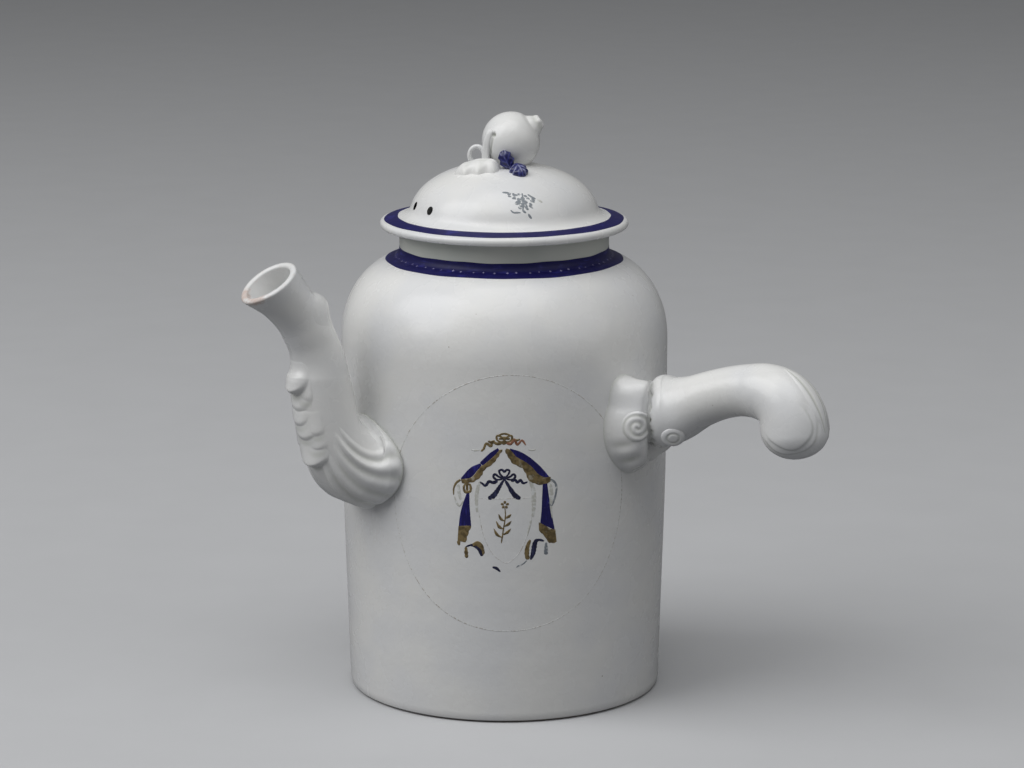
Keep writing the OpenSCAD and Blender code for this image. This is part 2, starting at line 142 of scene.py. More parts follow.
def spine(middle: Array) -> Array:
    """Points of a middle line that is given by its x and z."""
    return np.stack([middle[..., 0], 0 * middle[..., 0], middle[..., 1]], -1)


def bearing(points: Array) -> Array:
    """Direction of points from the upright axis, in radians."""
    return np.arctan2(points[..., 1], points[..., 0])


def drawn_in(points: Array, angle: Array, amount: Array) -> Array:
    """Points moved towards the upright axis, which they lie at an angle from."""
    return points - amount[..., None] * polar(1.0, angle)


def lengths(points: Array) -> Array:
    """Length along a line of flat points, up to each of them."""
    return np.concatenate([[0], np.cumsum(np.hypot(*np.diff(points, axis=0).T))])


def smooth_max(first: Array, second: Array, blend: Array | float) -> Array:
    """Greater of two values, rounded where they meet."""
    return 0.5 * (first + second + np.sqrt((first - second) ** 2 + blend))


def unevenness(points: Array) -> Array:
    """Slow unevenness of hand work, from 0 to 1, at points in millimetres."""
    x, y, z = points[..., 0], points[..., 1], points[..., 2]
    waves = np.sin(x / 9.1 + 1.3) + np.sin(y / 7.7 + z / 13 + 0.4) + np.sin(z / 10.3 - x / 15 + 2.1)
    return 0.5 + waves / 6


# Meshes

@dataclass
class Shape:
    """Closed mesh before it becomes an object.

    Attributes:
        points: Corners in millimetres.
        faces: Corner numbers of each face.
        fields: From 0 to 1 at each corner, how thickly glaze pools, with painted shade below the tip of the
            spout's back leaf, and how far it is worn off.
    """

    points: Array
    faces: list
    fields: dict[str, Array] = field(default_factory=dict)

    def turned(self, angle: float) -> "Shape":
        """The shape turned about the upright axis by degrees."""
        return replace(self, points=turned(self.points, angle))

    def mirrored(self) -> "Shape":
        """The shape mirrored in y."""
        return replace(self, points=self.points * (1, -1, 1))

    @staticmethod
    def joined(shapes: Sequence["Shape"]) -> "Shape":
        """One shape of several separate ones.

        Args:
            shapes: The shapes, which keep their own faces.

        Returns:
            A shape that holds them all.
        """
        faces, fields, start = [], {}, 0
        for shape in shapes:
            faces += [tuple(start + i for i in face) for face in shape.faces]
            start += len(shape.points)
        for name in sorted({name for shape in shapes for name in shape.fields}):
            values = [shape.fields.get(name, np.zeros(len(shape.points))) for shape in shapes]
            fields[name] = np.concatenate(values)
        return Shape(np.concatenate([shape.points for shape in shapes]), faces, fields)


def grid_faces(rows: int, cols: int, start: int = 0, wrap: bool = False, flip: bool = False) -> list:
    """Faces of a grid of corners that are numbered row by row.

    Args:
        rows: Number of rows.
        cols: Number of corners in a row.
        start: Number of the first corner.
        wrap: Whether a row's last corner joins its first.
        flip: Whether the faces look the other way.

    Returns:
        Faces of four corners.
    """
    i = np.arange(rows - 1)[:, None]
    j = np.arange(cols if wrap else cols - 1)[None, :]
    k = (j + 1) % cols
    near, far = i * cols, (i + 1) * cols
    quads = np.stack(np.broadcast_arrays(near + j, near + k, far + k, far + j), -1).reshape(-1, 4) + start
    return [tuple(q) for q in (quads[:, ::-1] if flip else quads).tolist()]


def loft(rings: Array, **fields: Array) -> Shape:
    """Closed skin over rings, with a fan over the first and the last.

    Args:
        rings: Array of rings by points by 3.
        fields: Pooling or wear at each point of the rings.

    Returns:
        The closed shape.
    """
    m, n = rings.shape[:2]
    points = np.vstack([rings.reshape(-1, 3), rings[0].mean(0), rings[-1].mean(0)])
    faces = grid_faces(m, n, wrap=True)
    faces += [(m * n, (j + 1) % n, j) for j in range(n)]
    faces += [(m * n + 1, (m - 1) * n + j, (m - 1) * n + (j + 1) % n) for j in range(n)]
    return Shape(points, faces, {name: np.concatenate([v.reshape(-1), [v[0].mean(), v[-1].mean()]])
                                 for name, v in fields.items()})


def slab(top: Array, bottom: Array, **fields: Array) -> Shape:
    """Closed shape between two sheets of points.

    Args:
        top: Upper sheet, rows by columns by 3.
        bottom: Lower sheet of the same form.
        fields: Pooling, painted shade or wear at each point of the upper sheet.

    Returns:
        The closed shape.
    """
    m, n = top.shape[:2]
    points = np.vstack([top.reshape(-1, 3), bottom.reshape(-1, 3)])
    faces = grid_faces(m, n) + grid_faces(m, n, start=m * n, flip=True)
    edge = list(range(n)) + [i * n + n - 1 for i in range(1, m)]
    edge += [(m - 1) * n + j for j in range(n - 2, -1, -1)] + [i * n for i in range(m - 2, 0, -1)]
    faces += [(b, a, a + m * n, b + m * n) for a, b in zip(edge, edge[1:] + edge[:1])]
    return Shape(points, faces, {name: np.tile(v.reshape(-1), 2) for name, v in fields.items()})


def ring_of(outlines: Array) -> Shape:
    """Closed shape of equal outlines that stand round an axis.

    Args:
        outlines: Steps round the axis by points of the outline by 3.

    Returns:
        The closed shape.
    """
    m, n = outlines.shape[:2]
    last = (m - 1) * n
    faces = grid_faces(m, n, wrap=True)
    faces += [(last + j, last + (j + 1) % n, (j + 1) % n, j) for j in range(n)]
    return Shape(outlines.reshape(-1, 3), faces)


def lathe(profile: Sequence, segments: int, warp: Callable[[Array], Array]) -> Shape:
    """Ring-shaped or solid body turned about the upright axis.

    Args:
        profile: Closed outline as radius and height.
        segments: Number of steps round the axis.
        warp: Moves the finished points.

    Returns:
        The closed shape.
    """
    outline = np.asarray(profile, float)
    a = np.linspace(0, 2 * np.pi, segments, endpoint=False)[:, None]
    return ring_of(warp(polar(outline[None, :, 0], a, outline[None, :, 1])))


def band(skin: Callable[..., Array], edges: Sequence[Array], a: Array, rows: int, lift: float) -> Shape:
    """Painted band round the upright axis.

    Args:
        skin: Points of the surface under it, for a place across it, an angle and a lift.
        edges: Place of its first and its second edge at each angle.
        a: Angles in radians.
        rows: Number of points across it.
        lift: Thickness of the paint.

    Returns:
        The closed band.
    """
    shares = np.linspace(0, 1, rows)[:, None]
    across = edges[0] * (1 - shares) + edges[1] * shares
    loop = np.concatenate([skin(across, a, lift), skin(across, a, -0.25)[::-1]])
    return ring_of(loop.transpose(1, 0, 2))


def film(wrapped: Callable[[Array, Array], Array], flat: Array, lift: float, thin: float,
         even: bool) -> Shape:
    """Thin closed layer of paint.

    Args:
        wrapped: Lays flat points on the surface, at a distance off it.
        flat: Flat grid that the paint covers.
        lift: Thickness of the paint.
        thin: Share of the thickness at its edges.
        even: Whether it reaches equally deep everywhere, or less deep at its edges.

    Returns:
        The layer.
    """
    edge = np.full(flat.shape[:2], thin)
    edge[1:-1, 1:-1] = 1.0
    return slab(wrapped(flat, lift * edge),
                wrapped(flat, -PAINT_DEPTH * (np.ones_like(edge) if even else edge)))


def arc(centre: tuple[float, float], radius: float, start: float, end: float, steps: int) -> list:
    """Points of an arc in the plane, with its angles in degrees."""
    angles = np.radians(np.linspace(start, end, steps))
    return [(centre[0] + radius * math.cos(a), centre[1] + radius * math.sin(a)) for a in angles]


def smoothed(mesh: bpy.types.Mesh, sharp: float) -> bpy.types.Mesh:
    """The mesh with smooth shading, and sharp edges above an angle in degrees."""
    mesh.shade_smooth()
    mesh.set_sharp_from_angle(angle=math.radians(sharp))
    return mesh


def to_mesh(shape: Shape, name: str, sharp: float) -> bpy.types.Mesh:
    """Make a mesh with outward faces and smooth shading.

    Args:
        shape: What to make.
        name: Name of the mesh.
        sharp: Angle in degrees above which an edge stays sharp.

    Returns:
        The mesh, in metres.
    """
    mesh = bpy.data.meshes.new(name)
    mesh.from_pydata((shape.points * MM).tolist(), [], shape.faces)
    for field_name, values in shape.fields.items():
        layer = mesh.attributes.new(field_name, "FLOAT", "POINT")
        layer.data.foreach_set("value", np.ascontiguousarray(values, np.float32))
    form = bmesh.new()
    form.from_mesh(mesh)
    bmesh.ops.remove_doubles(form, verts=form.verts, dist=2e-6)
    bmesh.ops.dissolve_degenerate(form, edges=form.edges, dist=1e-7)
    bmesh.ops.recalc_face_normals(form, faces=form.faces)
    form.to_mesh(mesh)
    form.free()
    return smoothed(mesh, sharp)


def shown(name: str, data: bpy.types.ID) -> bpy.types.Object:
    """New object of the scene that shows the data."""
    made = bpy.data.objects.new(name, data)
    bpy.context.scene.collection.objects.link(made)
    return made


def drill(target: bpy.types.Object, start: Array, end: Array, radius: float) -> None:
    """Cut a round hole through a piece.

    Args:
        target: The piece.
        start: One end of the drill's middle line, in millimetres.
        end: Its other end.
        radius: Radius of the hole.
    """
    way = unit(end - start)
    side = unit(np.cross(way, [0.0, 0.3, 1.0]))
    other = np.cross(way, side)
    a = np.linspace(0, 2 * np.pi, 48, endpoint=False)[:, None]
    ring = radius * (np.cos(a) * side + np.sin(a) * other)
    tool = shown("drill", to_mesh(loft(np.stack([start + ring, end + ring])), "drill", CREASE))
    cut = target.modifiers.new("hole", "BOOLEAN")
    cut.operation = "DIFFERENCE"
    cut.solver = "EXACT"
    cut.object = tool
    bpy.context.view_layer.update()
    graph = bpy.context.evaluated_depsgraph_get()
    result = bpy.data.meshes.new_from_object(target.evaluated_get(graph))
    target.modifiers.remove(cut)
    target.data = smoothed(result, CREASE)
    bpy.data.objects.remove(tool)


# Materials

class Recipe:
    """Builds one node material, step by step, around a Principled shader."""

    def __init__(self, name: str) -> None:
        """Start an empty recipe for a material of this name."""
        self.material = bpy.data.materials.new(name)
        self.material.use_nodes = True
        self.tree = self.material.node_tree
        self.tree.nodes.clear()
        self.shader = self.tree.nodes.new("ShaderNodeBsdfPrincipled")
        output = self.tree.nodes.new("ShaderNodeOutputMaterial")
        self.tree.links.new(self.shader.outputs[0], output.inputs[0])
        self.place = self.tree.nodes.new("ShaderNodeTexCoord").outputs["Object"]

    def node(self, kind: str, *inputs: object, **values: object) -> bpy.types.Node:
        """Add a node and set its values.

        Args:
            kind: Blender's name of the node, without its usual start.
            inputs: Values or sockets for its inputs in their order, None for one that is left as it is.
            values: Properties of the node, or inputs by name with _ for a blank.

        Returns:
            The node.
        """
        made = self.tree.nodes.new("ShaderNode" + kind)
        for key, value in values.items():
            if hasattr(made, key):
                setattr(made, key, value)
            else:
                self.feed(made.inputs[key.replace("_", " ")], value)
        for socket, value in zip(made.inputs, inputs):
            self.feed(socket, value)
        return made

    def feed(self, socket: bpy.types.NodeSocket, value: object) -> None:
        """Link a socket to a socket, or set its value, or leave it for None."""
        if isinstance(value, bpy.types.NodeSocket):
            self.tree.links.new(value, socket)
        elif value is not None:
            socket.default_value = value

    def stretched(self, scale: tuple[float, float, float]) -> bpy.types.NodeSocket:
        """Object coordinates with each axis scaled."""
        return self.node("VectorMath", self.place, scale, operation="MULTIPLY").outputs[0]

    def noise(self, size: float, detail: float, at: object = None) -> bpy.types.NodeSocket:
        """Noise from 0 to 1 with features of a size in millimetres."""
        return self.node("TexNoise", at or self.place, Scale=1 / (size * MM), Detail=detail).outputs[0]

    def math(self, operation: str, *values: object) -> bpy.types.NodeSocket:
        """Result of a sum on values or sockets."""
        return self.node("Math", *values, operation=operation).outputs[0]

    def times(self, *values: object) -> bpy.types.NodeSocket:
        """Product of two values."""
        return self.math("MULTIPLY", *values)

    def plus(self, *values: object) -> bpy.types.NodeSocket:
        """Sum of two values."""
        return self.math("ADD", *values)

    def span(self, value: bpy.types.NodeSocket, low: float, high: float) -> bpy.types.NodeSocket:
        """Smooth step of a value: 0 at low and 1 at high."""
        return self.node("MapRange", value, low, high, interpolation_type="SMOOTHSTEP").outputs[0]

    def mix(self, amount: object, first: object, second: object) -> bpy.types.NodeSocket:
        """Colour between two colours, for an amount from 0 to 1."""
        return self.node("Mix", amount, *[None] * 5, first, second, data_type="RGBA").outputs[2]

    def specks(self, spacing: float, radius: float, share: float) -> bpy.types.NodeSocket:
        """Mask of scattered round specks.

        Args:
            spacing: Distance between places that may hold a speck, in millimetres.
            radius: Largest radius of a speck in millimetres.
            share: Share of the places that hold one.

        Returns:
            1 on a speck and 0 off it.
        """
        cells = self.node("TexVoronoi", self.place, Scale=1 / (spacing * MM))
        split = self.node("SeparateColor", cells.outputs["Color"])
        chance = self.math("SUBTRACT", split.outputs[0], 1 - share)
        size = self.times(self.math("MAXIMUM", chance, 0.0), radius / spacing / share)
        return self.math("LESS_THAN", cells.outputs["Distance"], size)

    def field(self, name: str) -> bpy.types.NodeSocket:
        """Value that the mesh carries, or 0 where it has none."""
        return self.node("Attribute", attribute_name=name).outputs["Fac"]

    def bump(self, height: bpy.types.NodeSocket, depth: float, under: object = None) -> bpy.types.NodeSocket:
        """Normal bent by a height from 0 to 1, where 1 is a depth in millimetres."""
        return self.node("Bump", Strength=1.0, Distance=depth * MM, Height=height, Normal=under).outputs[0]

    def finish(
        self, colour: object, roughness: object, normal: object = None, **constants: float
    ) -> bpy.types.Material:
        """Connect the shader and return the material.

        Args:
            colour: Base colour.
            roughness: Roughness, or a socket.
            normal: Bent normal, or None.
            constants: Further values of the shader, with _ for a blank.

        Returns:
            The finished material.
        """
        values = {"Base Color": colour, "Roughness": roughness, "Normal": normal, **constants}
        for key, value in values.items():
            self.feed(self.shader.inputs[key.replace("_", " ")], value)
        return self.material


def rgb(red: int, green: int, blue: int) -> tuple[float, float, float, float]:
    """Linear colour of display values from 0 to 255."""
    def linear(value: int) -> float:
        """One channel, from display to linear."""
        share = value / 255
        return share / 12.92 if share <= 0.04045 else ((share + 0.055) / 1.055) ** 2.4

    return linear(red), linear(green), linear(blue), 1.0


@dataclass(frozen=True)
class Glaze:
    """Clear, slightly grey feldspar glaze over white clay.

    Attributes:
        name: Name of the material.
        light: Colour where it is thin.
        cool: Colour of its cooler clouds.
        pool_and_shade_colour: Colour where glaze gathers in hollows, and of the painted shade below the tip
            of the spout's back leaf.
        speck: Colour of iron specks.
        worn: Colour of clay where the glaze is rubbed off.
        speck_share: Share of places with a speck.
        ripple: Depth of the glaze's fine waves in millimetres.
        gloss: Roughness of the shiniest parts.
    """

    name: str = "white_glaze"
    light: tuple = rgb(232, 232, 230)
    cool: tuple = rgb(226, 227, 228)
    pool_and_shade_colour: tuple = rgb(192, 195, 186)
    speck: tuple = rgb(118, 104, 88)
    worn: tuple = rgb(200, 180, 170)
    speck_share: float = 0.16
    ripple: float = 0.035
    gloss: float = 0.25

    def material(self) -> bpy.types.Material:
        """Make the node material of the glaze."""
        r = Recipe(self.name)
        clouds = r.span(r.noise(31, 3), 0.35, 0.7)
        colour = r.mix(clouds, self.light, self.cool)
        # Towards the pooled colour: glaze gathered in hollows, and painted shade below the tip of the
        # spout's back leaf.
        colour = r.mix(r.times(r.field("pool"), 0.85), colour, self.pool_and_shade_colour)
        specks = r.specks(5.2, 0.34, self.speck_share)
        faint = r.times(specks, r.span(r.noise(17, 1), 0.35, 0.75))
        colour = r.mix(faint, colour, self.speck)
        fine = r.specks(2.1, 0.13, 0.22)
        colour = r.mix(r.times(fine, 0.4), colour, self.speck)
        wear = r.span(r.plus(r.field("wear"), r.times(r.noise(1.6, 4), 0.6)), 0.64, 1.0)
        colour = r.mix(r.times(wear, 0.85), colour, self.worn)
        waves = r.bump(r.noise(5.5, 2), self.ripple * 3)
        waves = r.bump(r.noise(1.5, 2), self.ripple, waves)
        rough = r.plus(r.times(r.noise(12, 3), 0.12), self.gloss - 0.04)
        rough = r.plus(rough, r.times(wear, 0.4))
        return r.finish(colour, rough, waves, IOR=1.5, Specular_IOR_Level=0.5)


@dataclass(frozen=True)
class BareClay:
    """Unglazed fired clay of the foot, toasted by the kiln.

    Attributes:
        name: Name of the material.
        pale: Colour of the clean clay.
        toasted: Colour where it took iron from the fire.
    """

    name: str = "bare_clay"
    pale: tuple = rgb(196, 180, 158)
    toasted: tuple = rgb(138, 104, 76)

    def material(self) -> bpy.types.Material:
        """Make the node material of the clay."""
        r = Recipe(self.name)
        toast = r.span(r.noise(6, 4), 0.35, 0.68)
        colour = r.mix(toast, self.pale, self.toasted)
        colour = r.mix(r.times(r.specks(1.4, 0.2, 0.3), 0.7), colour, rgb(92, 74, 58))
        grain = r.bump(r.noise(0.5, 4), 0.12)
        return r.finish(colour, 0.78, grain, IOR=1.45)


@dataclass(frozen=True)
class Cobalt:
    """Cobalt blue painted under or over the glaze, streaked by the brush.

    Attributes:
        name: Name of the material.
        deep: Colour where it is thick.
        thin: Colour where it is thin.
        streak: Size of the brush streaks across, along y and upright, in millimetres.
        thinness: Share of thin places.
        gloss: Roughness.
        shine: Strength of its reflections.
    """

    name: str = "cobalt"
    deep: tuple = rgb(20, 18, 82)
    thin: tuple = rgb(42, 42, 120)
    streak: tuple = (0.7, 0.7, 4.0)
    thinness: float = 0.45
    gloss: float = 0.18
    shine: float = 0.5

    def material(self) -> bpy.types.Material:
        """Make the node material of the blue."""
        r = Recipe(self.name)
        at = r.stretched(tuple(1 / s for s in self.streak))
        streaks = r.noise(1.0, 3, at)
        clouds = r.noise(4.2, 2)
        thin = r.span(r.plus(streaks, r.times(clouds, 0.6)), 0.95 - self.thinness * 0.4, 1.15)
        colour = r.mix(thin, self.deep, self.thin)
        colour = r.mix(r.field("wear"), colour, rgb(188, 192, 204))
        colour = r.mix(r.times(r.field("pool"), 0.8), colour, rgb(14, 15, 52))
        rough = r.plus(r.times(r.noise(3, 2), 0.14), self.gloss)
        return r.finish(colour, rough, r.bump(r.noise(1.2, 2), 0.03), IOR=1.5, Specular_IOR_Level=self.shine)


@dataclass(frozen=True)
class Gilding:
    """Brushed gold, rubbed thin in places.

    Attributes:
        name: Name of the material.
        gold: Colour of the metal.
        shade: Colour of its darker strokes.
        rubbed: Colour where the gold is nearly gone.
        rub: Share of it that is rubbed, 0 to 1.
    """

    name: str = "gilding"
    gold: tuple = rgb(138, 120, 82)
    shade: tuple = rgb(96, 82, 54)
    rubbed: tuple = rgb(176, 168, 148)
    rub: float = 0.4

    def material(self) -> bpy.types.Material:
        """Make the node material of the gold."""
        r = Recipe(self.name)
        colour = r.mix(r.span(r.noise(1.6, 4), 0.38, 0.64), self.gold, self.shade)
        rubbed = r.span(r.noise(2.6, 4), 0.72 - 0.3 * self.rub, 0.86 - 0.3 * self.rub)
        colour = r.mix(rubbed, colour, self.rubbed)
        rough = r.plus(r.times(r.noise(2, 2), 0.25), 0.28)
        return r.finish(colour, rough, r.bump(r.noise(0.6, 2), 0.02), Metallic=0.25)


@dataclass(frozen=True)
class Wash:
    """Thin painted line or tint over the glaze.

    Attributes:
        name: Name of the material.
        tint: Colour of the paint.
        bare: Colour of the glaze that shows through.
        cover: Share that the paint covers, 0 to 1.
        grain: Size of its breaks in millimetres.
    """

    name: str
    tint: tuple
    bare: tuple = rgb(224, 226, 225)
    cover: float = 0.6
    grain: float = 0.8

    def material(self) -> bpy.types.Material:
        """Make the node material of the wash."""
        r = Recipe(self.name)
        covered = r.span(r.noise(self.grain, 3), 0.62 - 0.4 * self.cover, 0.8 - 0.4 * self.cover)
        colour = r.mix(covered, self.bare, self.tint)
        colour = r.mix(r.times(r.noise(3.0, 2), 0.3), colour, self.bare)
        return r.finish(colour, 0.22, r.bump(r.noise(1.0, 2), 0.01), IOR=1.5)


@dataclass(frozen=True)
class PaleFloor:
    """Matt pale paper that the pot stands on.

    Attributes:
        name: Name of the material.
        tone: Its colour.
        second: Its slightly darker fibre colour.
        bounced: Its colour in the light that it sends back onto the pot.
    """

    name: str = "pale_floor"
    tone: tuple = rgb(196, 197, 199)
    second: tuple = rgb(191, 192, 194)
    bounced: tuple = rgb(112, 113, 116)

    def material(self) -> bpy.types.Material:
        """Make the node material of the paper."""
        r = Recipe(self.name)
        colour = r.mix(r.noise(40, 4), self.tone, self.second)
        path = r.node("LightPath")
        seen = r.math("MAXIMUM", path.outputs["Is Camera Ray"], path.outputs["Is Transmission Ray"])
        colour = r.mix(seen, self.bounced, colour)
        return r.finish(colour, 0.85, r.bump(r.noise(0.8, 3), 0.03))


class Paint(Enum):
    """Paints that the decorator used."""

    BLUE = "blue"
    INK = "ink"
    GOLD = "gold"
    RED_GOLD = "red_gold"
    GREY = "grey"
    PALE = "pale"
    GHOST = "ghost"


@dataclass(frozen=True)
class Coat:
    """Finish that is ready to be laid on a piece.

    Attributes:
        material: The node material.
        slot: The record's material slot, or None where it has none; not used.
    """

    material: bpy.types.Material
    slot: str | None = None


@dataclass
class Palette:
    """All finishes of the pot, each made once."""

    def __post_init__(self) -> None:
        """Make the materials."""
        # Painted shade: the grey glaze is a darker, greener copy of the white glaze, standing for the shade
        # under the lid's overhanging flange on the neck and the locating ring.
        grey_glaze = Glaze(
            name="grey_glaze", light=rgb(208, 210, 203), cool=rgb(199, 203, 196), pool_and_shade_colour=rgb(160, 164, 152),
            speck_share=0.22, gloss=0.2,
        )
        leaf_blue = Cobalt(
            name="leaf_blue", deep=rgb(34, 36, 104), thin=rgb(88, 94, 170), streak=(1.2, 1.2, 1.2),
            thinness=0.7,
        )
        band_blue = Cobalt(name="band_blue", streak=(6.0, 6.0, 0.9), thinness=0.3, gloss=0.4, shine=0.3)
        drapery_blue = Cobalt(name="drapery_blue", deep=rgb(20, 16, 84), thin=rgb(44, 42, 128))
        self.white = Coat(Glaze().material(), "white_glaze")
        self.grey = Coat(grey_glaze.material(), "grey_glaze")
        self.clay = Coat(BareClay().material(), "bare_clay")
        self.leaf_blue = Coat(leaf_blue.material(), BLUE_SLOT)
        self.band_blue = Coat(band_blue.material(), BLUE_SLOT)
        self.star = Coat(Wash("star_lilac", rgb(158, 154, 190), rgb(66, 64, 130), 0.85, 1.5).material())
        self.paints = {Paint.BLUE: Coat(drapery_blue.material(), BLUE_SLOT)}
        plain = {
            Paint.INK: Cobalt(name="ink_blue", deep=rgb(28, 30, 58), thin=rgb(58, 62, 96), thinness=0.5),
            Paint.GOLD: Gilding(),
            Paint.RED_GOLD: Gilding("red_gilding", rgb(170, 122, 96), rgb(128, 82, 62), rgb(208, 184, 172)),
            Paint.GREY: Wash("grey_wash", rgb(96, 106, 116), cover=0.85, grain=1.3),
            Paint.PALE: Wash("pale_wash", rgb(192, 192, 184), cover=0.7, grain=1.6),
            Paint.GHOST: Wash("ghost_line", rgb(176, 168, 158), cover=0.45, grain=1.1),
        }
        for paint, finish in plain.items():
            self.paints[paint] = Coat(finish.material())


# What all sub-assemblies share

@dataclass(kw_only=True)
class Part:
    """Sub-assembly of the pot, with forms in its own frame.

    Attributes:
        palette: The finishes.
        rides_on: The body that it moves with.
        angle: Turn of its frame about the upright axis, in degrees.
    """

    palette: Palette
    rides_on: str = POT
    angle: float = 0.0

    def piece(
        self, name: str, shape: Shape, coat: Coat, stands_for: Sequence[str] = (), sharp: float = CREASE
    ) -> bpy.types.Object:
        """Make an object of the pot and tie it to its body.

        Args:
            name: Name of the piece.
            shape: Its form in the pot's frame.
            coat: Its finish.
            stands_for: Construction nodes that it takes the place of.
            sharp: Angle above which an edge stays sharp.

        Returns:
            The object.
        """
        made = shown(name, to_mesh(shape, name, sharp))
        made.data.materials.append(coat.material)
        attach(made, self.rides_on)
        if stands_for:
            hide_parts(*stands_for)
        log.info("%s: %d faces on %s", name, len(made.data.polygons), self.rides_on)
        return made

    def put(self, node: str, made: str, shape: Shape, coat: Coat | None = None) -> bpy.types.Object:
        """Make the piece of a construction node, with how it is made as the end of its name."""
        return self.piece(f"{node}_{made}", shape.turned(self.angle), coat or self.palette.white, [node])


@dataclass(kw_only=True)
class Turned(Part):
    """Sub-assembly that is thrown or turned round the upright axis.

    Attributes:
        segments: Steps round the axis.
    """

    segments: int = 256

    def shaped(self, points: Array) -> Array:
        """Points with the slight unevenness of hand work, always inwards."""
        raise NotImplementedError

    def spin(self, node: str, outline: Sequence, coat: Coat | None = None,
             made: str = "glazed") -> bpy.types.Object:
        """Make a turned piece of a construction node from its closed outline of radius and height."""
        return self.put(node, made, lathe(outline, self.segments, self.shaped), coat)


# Body

@dataclass(kw_only=True)
class Body(Turned):
    """Thrown body: foot, floor, wall, shoulder and neck.

    Attributes:
        base_r: Radius at the foot.
        belly_swell: How much wider the body is below the shoulder.
        wall_h: Height of the upright wall.
        wall_t: Thickness of the wall.
        floor_t: Thickness of the floor.
        foot_h: Depth of the recess inside the foot ring.
        foot_w: Width of the foot ring.
        foot_trim: How far the foot's lower edge is trimmed in.
        glaze_edge: Height at which the glaze starts on the foot.
        shoulder_h: Height of the shoulder's quarter ellipse.
        shoulder_run: Its half width.
        neck_r: Outer radius of the neck.
        neck_t: Thickness of the neck.
        neck_h: Height of the neck.
        rim_r: Roundness of the rim.
        fillet: Size of the hollow curve between shoulder and neck.
        band_r: Outer radius of the blue band on the shoulder.
        band_rise: How far the band climbs above the hollow curve.
        segments: Steps round the body.
        stars: Number of stars on the blue band.
        hole_z: Height of the hole that leads into the spout.
        hole_r: Radius of that hole.
    """

    base_r: float = 64.0
    belly_swell: float = 2.8
    wall_h: float = 145.0
    wall_t: float = 4.0
    floor_t: float = 5.0
    foot_h: float = 2.5
    foot_w: float = 7.0
    foot_trim: float = 1.6
    glaze_edge: float = 0.7
    shoulder_h: float = 34.0
    shoulder_run: float = 28.1
    neck_r: float = 42.7
    neck_t: float = 4.2
    neck_h: float = 11.0
    rim_r: float = 1.2
    fillet: float = 3.0
    band_r: float = 48.5
    band_rise: float = 1.1
    segments: int = 288
    stars: int = 62
    hole_z: float = 101.0
    hole_r: float = 8.0

    @property
    def shoulder_centre_r(self) -> float:
        """Radius at which the shoulder's ellipse has its middle."""
        return self.base_r + self.belly_swell - self.shoulder_run

    @property
    def neck_z(self) -> float:
        """Height at which the neck starts."""
        return self.wall_h + self.shoulder_up(self.neck_r)

    @property
    def rim_z(self) -> float:
        """Height of the neck's rim."""
        return self.neck_z + self.neck_h

    def radius(self, z: Array | float) -> Array:
        """Outer radius of the wall at a height."""
        share = np.minimum(z, self.wall_h) / self.wall_h
        return self.base_r + self.belly_swell * np.sin(np.pi / 2 * share)

    def shoulder_up(self, r: Array | float) -> Array:
        """Height of the shoulder's skin above the wall at a radius."""
        share = (r - self.shoulder_centre_r) / self.shoulder_run
        return self.shoulder_h * np.sqrt(np.maximum(0.0, 1 - share**2))

    def shaped(self, points: Array) -> Array:
        """Points with the slight unevenness that throwing and firing leave, always inwards."""
        angle, z = bearing(points), points[..., 2]
        oval = 0.11 * (1 + np.cos(2 * angle + 0.9))
        rings = 0.015 * (1 + np.sin(z / 2.1 + 0.6 * np.sin(angle + 0.4)))
        slow = 0.09 * (1 + np.sin(z / 17.0 + 0.8 * np.sin(angle)))
        return drawn_in(points, angle, oval + rings + slow)

    def on_wall(self, angle: Array, z: Array, lift: Array | float = 0.0) -> Array:
        """Points on the wall at a direction in degrees and a height, lifted off its skin."""
        a = np.radians(angle)
        return self.shaped(polar(self.radius(z), a, z)) + np.asarray(lift)[..., None] * polar(1.0, a)

    def build(self) -> None:
        """Build all pieces of the body."""
        self.build_foot()
        self.build_wall()
        self.build_shoulder()
        self.build_neck()
        self.build_band()

    def build_foot(self) -> None:
        """Build the foot ring and the pot's floor."""
        bead, lip = 0.6, 0.75
        low_r = self.base_r - self.foot_trim
        ring = [(self.base_r - self.foot_w - 1.0, self.foot_h + 0.4)]
        ring += arc((self.base_r - self.foot_w + bead, bead), bead, 180, 270, 5)
        ring += arc((low_r - 1.0, bead), bead, 270, 360, 5)
        ring += [(low_r - 0.4, 1.4), (self.base_r - 2.2, self.foot_h + 0.4)]
        self.spin("foot_ring", ring, self.palette.clay, "bare")
        top, inner = self.foot_h + self.floor_t, self.base_r - self.wall_t
        disc = [(0.0, self.foot_h), (low_r - 0.9, self.foot_h), (low_r - 0.7, self.glaze_edge + 0.2)]
        disc += arc((self.base_r - 0.3 - lip, self.glaze_edge + lip), lip, 255, 345, 7)
        disc += [(self.radius(z), z) for z in np.linspace(self.foot_h + 0.6, top, 5)]
        disc += [(inner - 4, top), (inner - 8, top), (0.0, top)]
        self.spin("base_disc", disc)

    def build_wall(self) -> None:
        """Build the wall and drill the hole that leads into the spout."""
        low = self.foot_h + self.floor_t
        up = np.linspace(low, self.wall_h, 110)
        outline = [(self.radius(z), z) for z in up]
        outline += [(self.radius(z) - self.wall_t, z) for z in up[::-3]]
        wall = self.spin("body_wall", outline)
        drill(wall, np.array([-80.0, 0.0, self.hole_z]), np.array([-50.0, 0.0, self.hole_z]), self.hole_r)

